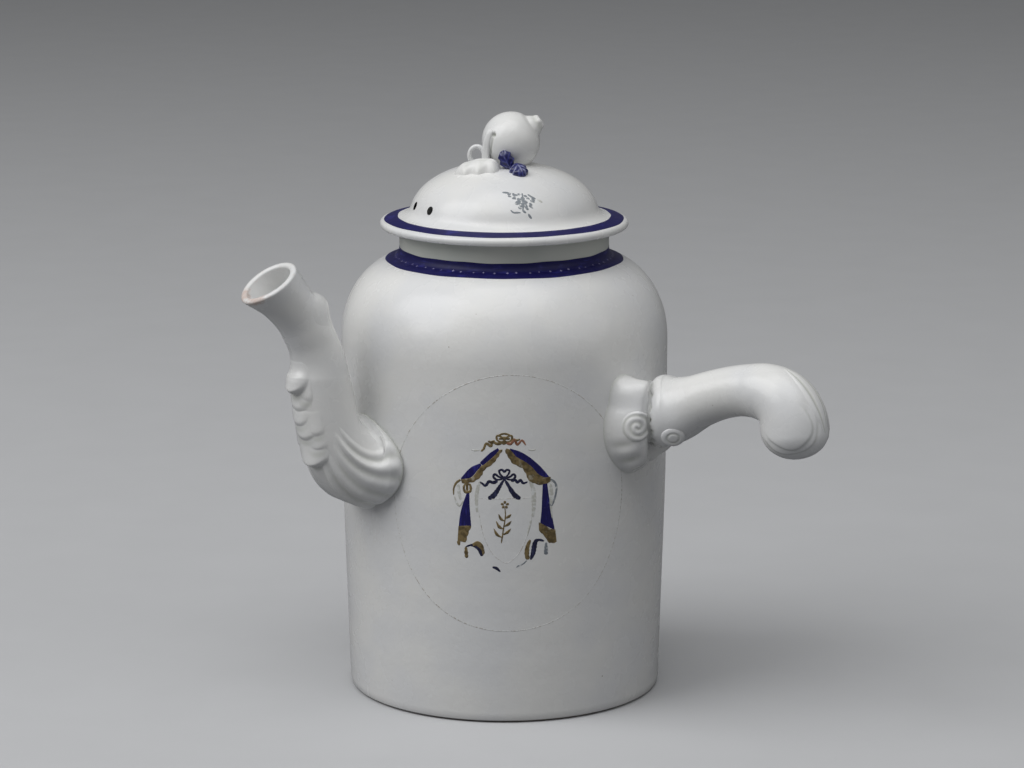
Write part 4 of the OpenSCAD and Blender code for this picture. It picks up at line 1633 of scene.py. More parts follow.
    def curl(self) -> Shape:
        """Rounded curl at the near lower side of the ferrule, with the ring of its eye."""
        rho = np.concatenate([np.linspace(0.05, 1, 34), np.full(6, 1.0)])
        sunk = np.concatenate([np.zeros(34), np.linspace(0.5, 5.0, 6)])
        turn = np.linspace(0, 2 * np.pi, 64, endpoint=False)
        high = 1.3 * np.sqrt(np.maximum(1 - rho**2, 0)) - sunk
        groove = 0.26 * bell((rho - 0.5) / 0.2)
        out, right = unit(self.towards_eye - (0, 0, 0.4)), self.sideways
        up = np.cross(out, right)
        start = (self.skin_x + self.groove_out + 13.4, -6.6, self.root_z + self.groove_up - 5.4)
        middle = np.array(start) + 3.5 * out + (high - groove)[:, None, None] * out
        reach = self.curl_r * rho[:, None]
        wide, tall = (reach * np.cos(turn))[..., None], (reach * np.sin(turn))[..., None]
        skin = middle + wide * right * 1.1 + tall * up
        return loft(skin, pool=np.repeat(bell((rho - 0.5) / 0.2)[:, None] * 0.6, 64, 1))

    def build_shaft(self) -> None:
        """Build the stick."""
        s = np.linspace(0, 0.5, 80)
        girth = self.shaft_girth(s)
        centre = self.middle(s)
        centre[0] -= (0.9, 0.18)
        skin = self.rings(centre, girth, self.lean(s), girth * 0.96, self.around)
        fade = (ease(s / 0.03) * ease((0.5 - s) / 0.05))[:, None]
        skin = skin - unit(skin - spine(centre)[:, None, :]) * (0.3 * unevenness(skin) * fade)[..., None]
        pool = np.repeat(0.5 * np.exp(-s / 0.01)[:, None], self.sides, 1)
        self.put("handle_shaft", "pressed", loft(skin, pool=pool))

    def knob_skin(self, s: Array) -> tuple[Array, Array]:
        """Rings of the knob and of its rounded end.

        Args:
            s: Places along the knob, past 1 on its rounded end, which reaches to 2.

        Returns:
            The rings and the middle of each, in the handle's own frame.
        """
        along, cap = np.minimum(s, 1.0), np.radians(86) * np.clip(s - 1, 0, 1)
        lean = self.lean(along)
        depth = 0.8 * self.knob_r * np.sin(cap)
        centre = self.middle(along) + depth[:, None] * np.stack([np.cos(lean), np.sin(lean)], -1)
        girth = self.knob_girth(along) * np.cos(cap)
        skin = self.rings(centre, girth, lean, girth * 0.98, self.around)
        return skin, spine(self.middle(along))[:, None, :]

    def build_knob(self) -> None:
        """Build the knob with the layered leaf round its end."""
        s = np.concatenate([np.linspace(0.5, 1, 90), np.linspace(1.02, 2, 50)])
        skin, inside = self.knob_skin(s)
        out = skin[..., 0] - self.skin_x - self.crest_out - 11.5
        across = EYE_FRONT * out - EYE_SIDE * np.abs(skin[..., 1])
        dz = skin[..., 2] - (self.root_z + self.crest_up - 9.8)
        rho, theta = np.hypot(across, dz), np.degrees(np.arctan2(dz, across))
        sideways = ease((np.abs(skin[..., 1]) - 1.5) / 3.5)
        lower = ease((theta + 165) / 40) * (1 - ease((theta - 40) / 30))
        terrace, pool = np.zeros_like(rho), np.zeros_like(rho)
        for radius in (8.6, 11.0):
            edge = radius + 0.25 * np.sin(np.radians(theta) * 5 + radius)
            terrace -= 0.42 * ease((rho - edge) / 0.7) * (1 - ease((rho - edge - 0.8) / 3.0))
            pool += 0.45 * bell((rho - edge - 0.6) / 0.7)
        terrace *= sideways * lower
        start = ease((s - 0.5) / 0.06)[:, None]
        skin = skin + unit(skin - inside) * (terrace * start - 0.25 * unevenness(skin) * start)[..., None]
        self.put("handle_terminal", "moulded", loft(skin, pool=np.clip(pool * sideways * lower, 0, 1)))
        self.build_knob_leaf()

    def build_knob_leaf(self) -> None:
        """Build the leaf along the knob's back, with a groove on both sides of its rib."""
        f, b = np.linspace(0, 1, 90), np.linspace(-1, 1, 71)
        s = 0.61 + 0.39 * f
        half = 0.9 + 4.6 * np.sin(np.pi * f**0.8)
        centre, lean, girth = self.middle(s), self.lean(s)[:, None], self.knob_girth(s)[:, None]
        a = (b[None, :] * half[:, None]) / girth
        crown = 0.75 * (1 - np.abs(b) ** 3)[None, :] * np.sin(np.pi * (0.05 + 0.9 * f))[:, None] ** 0.4
        groove = 0.25 * np.exp(-((np.abs(b) - 0.42) / 0.13) ** 2)[None, :]
        groove = groove * np.sin(np.pi * f)[:, None] ** 0.5

        def sheet(radius: Array) -> Array:
            """Sheet of points at a distance from the knob's middle line."""
            x = centre[:, 0, None] - radius * np.cos(a) * np.sin(lean)
            z = centre[:, 1, None] + radius * np.cos(a) * np.cos(lean)
            return np.stack([x, radius * np.sin(a), z], -1)

        pool = np.repeat(bell((np.abs(b) - 0.42) / 0.2)[None, :], len(f), 0) * 0.8
        leaf = slab(sheet(girth + crown - 0.3 - groove), sheet(girth - 1.2 + 0 * a), pool=pool)
        self.put("handle_terminal_leaf", "moulded", leaf)


# Lid

@dataclass(kw_only=True)
class Lid(Turned):
    """Loose domed lid with a flange, two vents and a ring that drops into the neck.

    Attributes:
        body: The body that it closes.
        flange_over: How far the flange stands out past the neck.
        flange_t: Thickness of the flange.
        dome_set_in: How far the dome is set in from the outside of the neck.
        dome_h: Height of the dome above the flange.
        dome_t: Thickness of the dome.
        dome_power: How squarely the dome is domed.
        cove: Radius of the hollow curve between flange and dome.
        locating_h: How far the locating ring reaches down.
        locating_t: Thickness of the locating ring.
        locating_play: Radial play of the ring in the neck.
        seat_gap: Gap between flange and rim.
        vent_up: Height of the vents above the flange.
        vent_d: Diameter of a vent.
        vent_angle: Direction between the vents.
        vent_spread: Angle between the vents.
        band_in: Inner radius of the blue band.
        band_out: Its outer radius.
        foot_over: How far the dome's foot stands out past the dome.
        cove_over: How far the hollow curve's middle stands out past the dome.
    """

    body: Body
    rides_on: str = LID
    flange_over: float = 7.7
    flange_t: float = 4.6
    dome_set_in: float = 4.3
    dome_h: float = 21.6
    dome_t: float = 4.0
    dome_power: float = 2.1
    cove: float = 5.35
    locating_h: float = 8.0
    locating_t: float = 3.5
    locating_play: float = 0.8
    seat_gap: float = 0.2
    vent_up: float = 5.4
    vent_d: float = 3.5
    vent_angle: float = 174.0
    vent_spread: float = 21.0
    band_in: float = 43.3
    band_out: float = 48.6
    foot_over: float = 5.5
    cove_over: float = 4.6

    @property
    def seat_z(self) -> float:
        """Height of the flange's underside."""
        return self.body.rim_z + self.seat_gap

    @property
    def dome_z(self) -> float:
        """Height of the flange's top."""
        return self.seat_z + self.flange_t

    @property
    def dome_r(self) -> float:
        """Outer radius of the dome."""
        return self.body.neck_r - self.dome_set_in

    @property
    def flange_r(self) -> float:
        """Outer radius of the flange."""
        return self.body.neck_r + self.flange_over

    @property
    def ring_r(self) -> float:
        """Outer radius of the locating ring."""
        return self.body.neck_r - self.body.neck_t - self.locating_play

    @property
    def bore_r(self) -> float:
        """Radius of the opening on the underside."""
        return self.ring_r - self.locating_t

    @property
    def edge_r(self) -> float:
        """Roundness of the flange's edge."""
        return self.flange_t * 0.36

    @property
    def foot_r(self) -> float:
        """Radius at which the dome's foot meets the flange."""
        return self.dome_r + self.foot_over

    def dome_up(self, r: Array | float) -> Array:
        """Height of the dome's skin above the flange at a radius."""
        share = np.minimum(np.abs(r) / self.dome_r, 1) ** self.dome_power
        return self.dome_h * (1 - share) ** (1 / self.dome_power)

    def dome_out(self, r: float, h: float, z: Array) -> Array:
        """Radius of a dome of radius r and height h at height z."""
        return r * (1 - np.minimum(z / h, 1) ** self.dome_power) ** (1 / self.dome_power)

    def on_dome(self, x: Array, y: Array) -> Array:
        """Height of the dome's skin under a point."""
        return self.dome_z + self.dome_up(np.hypot(x, y))

    def shaped(self, points: Array) -> Array:
        """Points with the lid's slight unevenness, always inwards."""
        angle, z = bearing(points), points[..., 2]
        return drawn_in(points, angle, 0.07 * (1 + np.cos(2 * angle + 2.1)) + 0.03 * (1 + np.sin(z / 1.7)))

    def build(self) -> None:
        """Build all pieces of the lid."""
        self.build_flange()
        self.build_dome()
        self.build_locating_ring()
        self.build_band()

    def build_flange(self) -> None:
        """Build the flange."""
        edge = self.edge_r
        middle = (self.flange_r - edge, self.seat_z + edge)
        outline = [(self.bore_r, self.seat_z), (self.ring_r + 3, self.seat_z)]
        outline += arc(middle, edge, -90, 74, 20)
        outline += [(self.foot_r - 0.05, self.dome_z - 0.02), (self.foot_r - 2, self.dome_z - 0.08)]
        outline += [(self.bore_r, self.dome_z - 0.08)]
        self.spin("lid_flange", outline)

    def build_dome(self) -> None:
        """Build the dome and drill its two vents."""
        centre = (self.dome_r + self.cove_over, self.cove)
        flow = arc(centre, self.cove, 270, 200, 24)
        start = math.asin(3.7 / self.dome_h)
        flow += [(self.dome_out(self.dome_r, self.dome_h, self.dome_h * math.sin(a)),
                  self.dome_h * math.sin(a))
                 for a in np.linspace(start, np.pi / 2, 90)]
        outline = [(self.bore_r, -0.04), (self.foot_r, -0.04)] + self.softened(flow)
        in_r, in_h = self.dome_r - self.dome_t, self.dome_h - self.dome_t
        outline += [(min(self.bore_r, self.dome_out(in_r, in_h, in_h * math.sin(a))), in_h * math.sin(a))
                    for a in np.linspace(np.pi / 2, 0, 24)]
        outline = [(r, z + self.dome_z) for r, z in outline]
        dome = self.spin("lid_dome", outline)
        out = float(self.dome_out(self.dome_r, self.dome_h, np.float64(self.vent_up)))
        for side in (-1, 1):
            turn = math.radians(self.vent_angle + side * self.vent_spread / 2)
            way = np.array([math.sin(math.radians(78)), 0, math.cos(math.radians(78))])
            middle = np.array([out, 0, self.dome_z + self.vent_up])
            ends = turned(np.stack([middle - 10 * way, middle + 10 * way]), math.degrees(turn))
            drill(dome, ends[0], ends[1], self.vent_d / 2)

    @staticmethod
    def softened(outline: list) -> list:
        """Outline with its corners eased, its ends kept, at even steps."""
        points = np.asarray(outline, float)
        length = lengths(points)
        even = np.linspace(0, length[-1], 110)
        points = np.stack([np.interp(even, length, points[:, 0]), np.interp(even, length, points[:, 1])], -1)
        for _ in range(14):
            points[1:-1] = 0.25 * points[:-2] + 0.5 * points[1:-1] + 0.25 * points[2:]
        return [tuple(p) for p in points]

    def build_locating_ring(self) -> None:
        """Build the ring that drops into the neck."""
        low, bevel = self.seat_z - self.locating_h, 1.2
        outline = [(self.bore_r, self.seat_z + 0.05), (self.bore_r, low + 0.5)]
        outline += arc((self.bore_r + 0.5, low + 0.5), 0.5, 180, 270, 5)
        outline += arc((self.ring_r - bevel, low + bevel), bevel, 270, 360, 8)
        outline += [(self.ring_r, self.seat_z + 0.05)]
        # Painted shade: the locating ring takes the darker grey glaze for the shade under the lid.
        self.spin("lid_locating_ring", outline, self.palette.grey)

    def skin(self, r: Array, a: Array, lift: float) -> Array:
        """Points of the lid's top round the dome.

        Args:
            r: Radius, outside the dome.
            a: Angle in radians.
            lift: Distance above the skin.

        Returns:
            The points.
        """
        low_r, low = self.flange_r - 0.724 * self.edge_r, 1.961 * self.edge_r
        fall = (self.flange_t - low) / (low_r - self.foot_r)
        inwards = np.clip(self.dome_r + self.cove_over - r, 0, self.cove)
        on_cove = self.cove - np.sqrt(self.cove**2 - inwards**2)
        z = self.dome_z + np.where(r > self.foot_r, -fall * (r - self.foot_r), on_cove)
        return self.shaped(polar(r, a, z)) + lift * np.array([0.0, 0.0, 1.0])

    def build_band(self) -> None:
        """Build the blue band round the foot of the dome."""
        a = np.linspace(0, 2 * np.pi, 641)[:-1]
        inner = self.band_in + 0.1 * np.sin(6 * a + 1) + 0.07 * np.sin(19 * a)
        outer = self.band_out + 0.12 * np.sin(5 * a + 0.4) + 0.08 * np.sin(14 * a + 2)
        self.piece("lid_band", band(self.skin, (inner, outer), a, 12, 0.07), self.palette.band_blue)


@dataclass(kw_only=True)
class Finial(Part):
    """Fruit with its calyx, stalk, twig and two leaves. Its own -Y is at the front.

    Attributes:
        lid: The lid that it stands on.
        angle: Turn of the finial.
        fruit_r: Radius of the fruit.
        fruit_sink: How far the fruit is sunk into the dome.
        calyx_r: Radius of the calyx.
        calyx_lean: Lean of the calyx from upright, in degrees.
        stalk_d: Thickness of the stalk at its foot.
        twig_d: Thickness of the twig.
    """

    lid: Lid
    rides_on: str = LID
    angle: float = -33.0
    fruit_r: float = 12.2
    fruit_sink: float = 3.5
    calyx_r: float = 2.6
    calyx_lean: float = 55.0
    stalk_d: float = 5.0
    twig_d: float = 1.9

    @property
    def fruit_at(self) -> Array:
        """Middle of the fruit."""
        return np.array([2.8, 0, self.lid.dome_z + self.lid.dome_h + self.fruit_r - self.fruit_sink])

    @property
    def axis(self) -> tuple[Array, Array, Array]:
        """Axis of the fruit towards its calyx, and two directions across it."""
        lean = math.radians(self.calyx_lean)
        along = np.array([math.sin(lean), 0, math.cos(lean)])
        side = np.array([0.0, 1.0, 0.0])
        return along, side, np.cross(along, side)

    def build(self) -> None:
        """Build all pieces of the finial."""
        self.build_fruit()
        self.build_calyx()
        self.build_stalk()
        self.build_twig()
        self.build_white_leaf()
        self.build_blue_leaf()

    def build_fruit(self) -> None:
        """Build the fruit, a little lumpy, with a pit and a furrow beside its stalk."""
        along, side, other = self.axis
        tilt, turn = np.meshgrid(np.linspace(0.02, np.pi - 0.02, 110),
                                 np.linspace(0, 2 * np.pi, 180, endpoint=False), indexing="ij")
        way = (np.cos(tilt)[..., None] * along + (np.sin(tilt) * np.cos(turn))[..., None] * side
               + (np.sin(tilt) * np.sin(turn))[..., None] * other)
        lumps = 0.7 * unevenness(way * 13) + 0.5 * unevenness(way * 31 + 7)
        collar = 0.15 * bell((tilt - 0.5) / 0.15)
        pit_at = unit(np.array([-0.60, -0.74, 0.30]))
        pit = 1.5 * bell(np.linalg.norm(way - pit_at, axis=-1) / 0.13)
        below = unit(np.array([(-0.66, -0.75, 0.02), (-0.70, -0.62, -0.35)]))
        line = through([pit_at, *below], 40)
        near = np.min(np.linalg.norm(way[..., None, :] - unit(line), axis=-1), -1)
        furrow = 0.7 * bell(near / 0.075)
        dent = np.maximum(pit, furrow)
        radius = self.fruit_r - 0.05 - lumps * 0.6 - collar - dent
        skin = self.fruit_at + radius[..., None] * way
        pool = np.clip(dent / 1.2 + collar, 0, 1)
        self.put("finial_fruit", "moulded", loft(skin, pool=pool))

    def build_calyx(self) -> None:
        """Build the blunt calyx at the fruit's far end."""
        along, side, other = self.axis
        outline = through([(5.9, -2.6), (5.0, -1.0), (4.1, 0.4), (3.35, 1.5), (2.95, 2.6), (2.3, 3.3),
                           (1.2, 3.42), (0.5, 3.05), (0.15, 2.9)], 44) * (self.calyx_r / 2.6)
        turn = np.linspace(0, 2 * np.pi, 72, endpoint=False)
        lobes = 1 - 0.07 * (1 + np.cos(5 * turn + 0.6))[None, :] * bell((outline[:, 1] - 3.2) / 2.4)[:, None]
        r = outline[:, 0, None] * lobes
        skin = (self.fruit_at + (self.fruit_r - 0.9 + outline[:, 1])[:, None, None] * along
                + (r * np.cos(turn))[..., None] * side + (r * np.sin(turn))[..., None] * other)
        pool = np.repeat(bell((outline[:, 1] - 1.6) / 1.6)[:, None] * 0.5, 72, 1)
        self.put("finial_calyx", "moulded", loft(skin, pool=pool))

    def tube(self, path: Array, high: Array, wide: Array, out: Array, around: int = 28) -> Array:
        """Rings of a flattened tube.

        Args:
            path: Its middle line.
            high: Half its thickness along the line.
            wide: Half its width along the line.
            out: Direction of its thickness at each point.
            around: Points in each ring.

        Returns:
            The rings.
        """
        ahead = unit(np.gradient(path, axis=0))
        across = unit(np.cross(ahead, out))
        up = np.cross(across, ahead)
        turn = np.linspace(0, 2 * np.pi, around, endpoint=False)
        return (path[:, None, :] + (high[:, None] * np.cos(turn))[..., None] * up[:, None, :]
                + (wide[:, None] * np.sin(turn))[..., None] * across[:, None, :])

    def build_stalk(self) -> None:
        """Build the broad stalk that lies against the fruit."""
        t = np.linspace(0, 1, 70)
        ways = np.array([(-10.0, -5.5, -9.0), (-10.2, -6.0, -4.75), (-10.2, -6.6, -1.9), (-10.0, -7.2, 1.0),
                         (-9.35, -7.4, 3.8), (-8.5, -7.2, 6.1)])
        reach = np.array([1.17, 1.05, 1.0, 0.985, 0.98, 0.965]) * self.fruit_r
        path = self.fruit_at + through(unit(ways) * reach[:, None], 70)
        path[0, 2] = min(path[0, 2], self.lid.on_dome(path[0, 0], path[0, 1]) - 0.6)
        taper = 1.1 - 0.42 * t
        close = np.sqrt(1 - np.clip((t - 0.84) / 0.16, 0, 0.999) ** 2)
        high, wide = self.stalk_d * 0.3 * taper * close, self.stalk_d * 0.42 * taper * close
        out = unit(path - self.fruit_at)
        skin = self.tube(path, high, wide, out)
        ribs = 0.18 * np.cos(np.linspace(0, 2 * np.pi, 28, endpoint=False) * 4)[None, :, None]
        skin = skin + (skin - path[:, None, :]) * ribs * 0.35
        self.put("finial_stalk", "moulded", loft(skin))

    def build_twig(self) -> None:
        """Build the small loop of twig."""
        foot = np.array([-1.0, -0.25]) * self.fruit_r
        loop = 0.285 * self.fruit_r
        a = np.radians(-150 + 275 * np.linspace(0, 1, 58))
        base = self.lid.on_dome(foot[0], foot[1])
        ring = np.stack([foot[0] + 1.2 + loop * np.sin(a) * 0.85, foot[1] - 1.6 * np.linspace(0, 1, 58),
                         base + 4.4 + loop * np.cos(a)], -1)
        start = np.array([foot[0] + 0.4, foot[1] + 0.1, base - 0.8])
        path = through(np.vstack([start, ring[::4]]), 70)
        t = np.linspace(0, 1, 70)
        end = np.sqrt(1 - np.clip((t - 0.95) / 0.05, 0, 0.99) ** 2)
        radius = self.twig_d / 2 * (1 + 0.08 * np.sin(9 * t + 1)) * end
        skin = self.tube(path, radius, radius, np.tile([0.0, -1.0, 0.0], (70, 1)), 20)
        self.put("finial_twig", "moulded", loft(skin))

    def leaf_grid(self, root: Sequence[float], tip: Sequence[float], wide: float, waves: float,
                  depth: float) -> tuple[Array, Array, Array, Array, Array]:
        """Grid of a leaf that lies on the dome.

        Args:
            root: Its root, as shares of the fruit's radius.
            tip: Its tip, likewise.
            wide: Its greatest width in millimetres.
            waves: Number of lobes of its edge.
            depth: Share by which the lobes cut in.

        Returns:
            Way along, way across from -1 to 1, x, y and the dome's height there.
        """
        start, end = np.asarray(root) * self.fruit_r, np.asarray(tip) * self.fruit_r
        f, b = grid((0, 1, 110), (-1, 1, 90))
        along = unit(end - start)
        across = np.array([-along[1], along[0]])
        outline = 0.35 + 0.65 * np.sin(np.pi * (0.08 + 0.84 * f) ** 0.85)
        outline = outline * np.sqrt(np.clip(1 - np.clip((f - 0.9) / 0.1, 0, 1) ** 2 * 0.85, 0, 1))
        outline = outline * np.sqrt(np.clip(1 - np.clip((0.08 - f) / 0.08, 0, 1) ** 2 * 0.85, 0, 1))
        half = wide / 2 * outline * (1 + depth * np.sin(2 * np.pi * waves * f))
        place = start + (end - start) * f[..., None] + across * (half * b)[..., None]
        return f, b, place[..., 0], place[..., 1], self.lid.on_dome(place[..., 0], place[..., 1])

    def build_white_leaf(self) -> None:
        """Build the plump white leaf with its scalloped edge."""
        f, b, x, y, base = self.leaf_grid((-0.16, -1.11), (-1.6, -0.74), 0.74 * self.fruit_r, 3, 0.14)
        thick = 0.39 * self.fruit_r
        plump = (1 - np.abs(b) ** 2.6) ** 0.55 * (1 - np.abs(2 * f - 1) ** 5) ** 0.6
        rise = thick * 0.9 * (1 - 0.2 * ease((f - 0.35) / 0.65))
        folds = 0.30 * np.cos(2 * np.pi * 3 * f - 1.2 * np.abs(b)) * np.abs(b)
        folds = folds + 0.35 * np.exp(-(b / 0.16) ** 2)
        top = base + rise * plump - folds * plump * 1.3
        pool = np.clip(folds * 1.6, 0, 1) * plump
        leaf = slab(np.stack([x, y, top], -1), np.stack([x, y, base - 0.6], -1), pool=pool)
        self.put("finial_white_leaf", "moulded", leaf)

    def lobe(self, line: Sequence, out: Sequence[float], wide: float, thick: float) -> Shape:
        """One veined lobe of a leaf.

        Args:
            line: Points that its midrib passes.
            out: Direction in which it faces.
            wide: Its greatest width.
            thick: Its greatest thickness over the midrib's line.

        Returns:
            The lobe, with pooling between its veins and wear on them.
        """
        rib, face = through(line, 70), unit(np.asarray(out, float))
        f, b = grid((0, 1, 70), (-1, 1, 60))
        across = unit(np.cross(unit(np.gradient(rib, axis=0)), face))
        outline = np.sin(np.pi * (0.1 + 0.8 * f)) ** 0.6 * (1 + 0.1 * np.sin(2 * np.pi * 3 * f))
        outline = outline * np.sqrt(np.clip(1 - (2 * np.abs(f - 0.5)) ** 8 * 0.8, 0, 1))
        flat = rib[:, None, :] + across[:, None, :] * (wide / 2 * outline * b)[..., None]
        plump = (1 - np.abs(b) ** 2.4) ** 0.5 * (1 - np.abs(2 * f - 1) ** 5) ** 0.6
        veins = np.abs(np.sin(np.pi * (3.4 * f - 1.1 * np.abs(b) + 0.2))) ** 6
        raised = np.maximum(veins * np.abs(b) ** 0.4, np.exp(-((b / 0.09) ** 2)))
        height = thick * plump * (0.82 + 0.16 * raised)
        top = flat + face * height[..., None]
        wear = np.clip(raised * 0.55 * ease((unevenness(top * 4) - 0.4) / 0.2), 0, 1)
        pool = np.clip((1 - raised) ** 3 * 0.8, 0, 1) * (1 - wear)
        return slab(top, flat - face * 1.2, pool=pool, wear=wear)

    def build_blue_leaf(self) -> None:
        """Build the two-lobed leaf that is painted blue: one lobe against the fruit, one on the dome."""
        r, (cx, _, cz) = self.fruit_r, self.fruit_at
        tall = self.lobe([(cx + 0.02 * r, -0.92 * r, cz - 0.86 * r), (cx - 0.16 * r, -1.0 * r, cz - 0.5 * r),
                          (cx - 0.3 * r, -0.96 * r, cz - 0.2 * r)], (-0.1, -0.97, 0.1), 0.46 * r, 0.17 * r)
        x, y = cx + 0.1 * r, -0.98 * r
        ground = [(x + f * 0.28 * r, y - f * 0.62 * r) for f in (0.0, 0.5, 1.0)]
        rib = [(px, py, self.lid.on_dome(px, py) + lift) for (px, py), lift in zip(ground, (1.2, 0.9, 0.2))]
        low = self.lobe(rib, (0.1, -0.5, 0.85), 0.56 * r, 0.2 * r)
        self.put("finial_blue_leaf", "moulded", Shape.joined([tall, low]), self.palette.leaf_blue)


# Painted decoration

@dataclass(frozen=True)
class Stroke:
    """One stroke of the brush.

    Attributes:
        paint: Its paint.
        points: Points that its middle passes, in millimetres.
        widths: Its width, or its widths from start to end.
    """

    paint: Paint
    points: Points2
    widths: tuple[float, ...]

    def grid(self) -> Array:
        """Flat grid of points that the stroke covers."""
        line = through(self.points, 12)
        length = float(np.sum(np.linalg.norm(np.diff(line, axis=0), axis=1)))
        count = max(8, int(length / 0.3))
        line = through(self.points, count)
        ahead = unit(np.gradient(line, axis=0))
        across = np.stack([-ahead[:, 1], ahead[:, 0]], -1)
        t = np.linspace(0, 1, count)
        full = self.widths[0]
        widths = self.widths if len(self.widths) > 1 else (full * 0.8, full, full * 0.7)
        width = np.interp(t, np.linspace(0, 1, len(widths)), widths)
        ends = np.sqrt(np.clip(1 - (2 * np.abs(t - 0.5)) ** 14, 0.12, 1))
        shake = 1 + 0.09 * np.sin(2.9 * line[:, 0] + 4.1 * line[:, 1])
        half = width / 2 * ends * shake
        b = np.linspace(-1, 1, 5)
        return line[:, None, :] + across[:, None, :] * (half[:, None] * b)[..., None]


@dataclass(frozen=True)
class Field:
    """Painted field between two edges.

    Attributes:
        paint: Its paint.
        first: Points of one edge.
        second: Points of the other edge.
        scallops: Number of small bows along the second edge.
    """

    paint: Paint
    first: Points2
    second: Points2
    scallops: int = 0

    def grid(self) -> Array:
        """Flat grid of points that the field covers."""
        one, two = through(self.first, 60), through(self.second, 60)
        if self.scallops:
            bows = np.abs(np.sin(np.linspace(0, np.pi * self.scallops, 60)))
            two = two + 0.35 * (bows - 0.5)[:, None] * unit(two - one + 1e-6)
        b = np.linspace(0, 1, 12)[None, :, None]
        return one[:, None, :] * (1 - b) + two[:, None, :] * b


def both_sides(paint: Paint, points: Points2, widths: tuple[float, ...]) -> list[Stroke]:
    """A stroke and its mirror image."""
    return [Stroke(paint, points, widths), Stroke(paint, [(-x, y) for x, y in points], widths)]


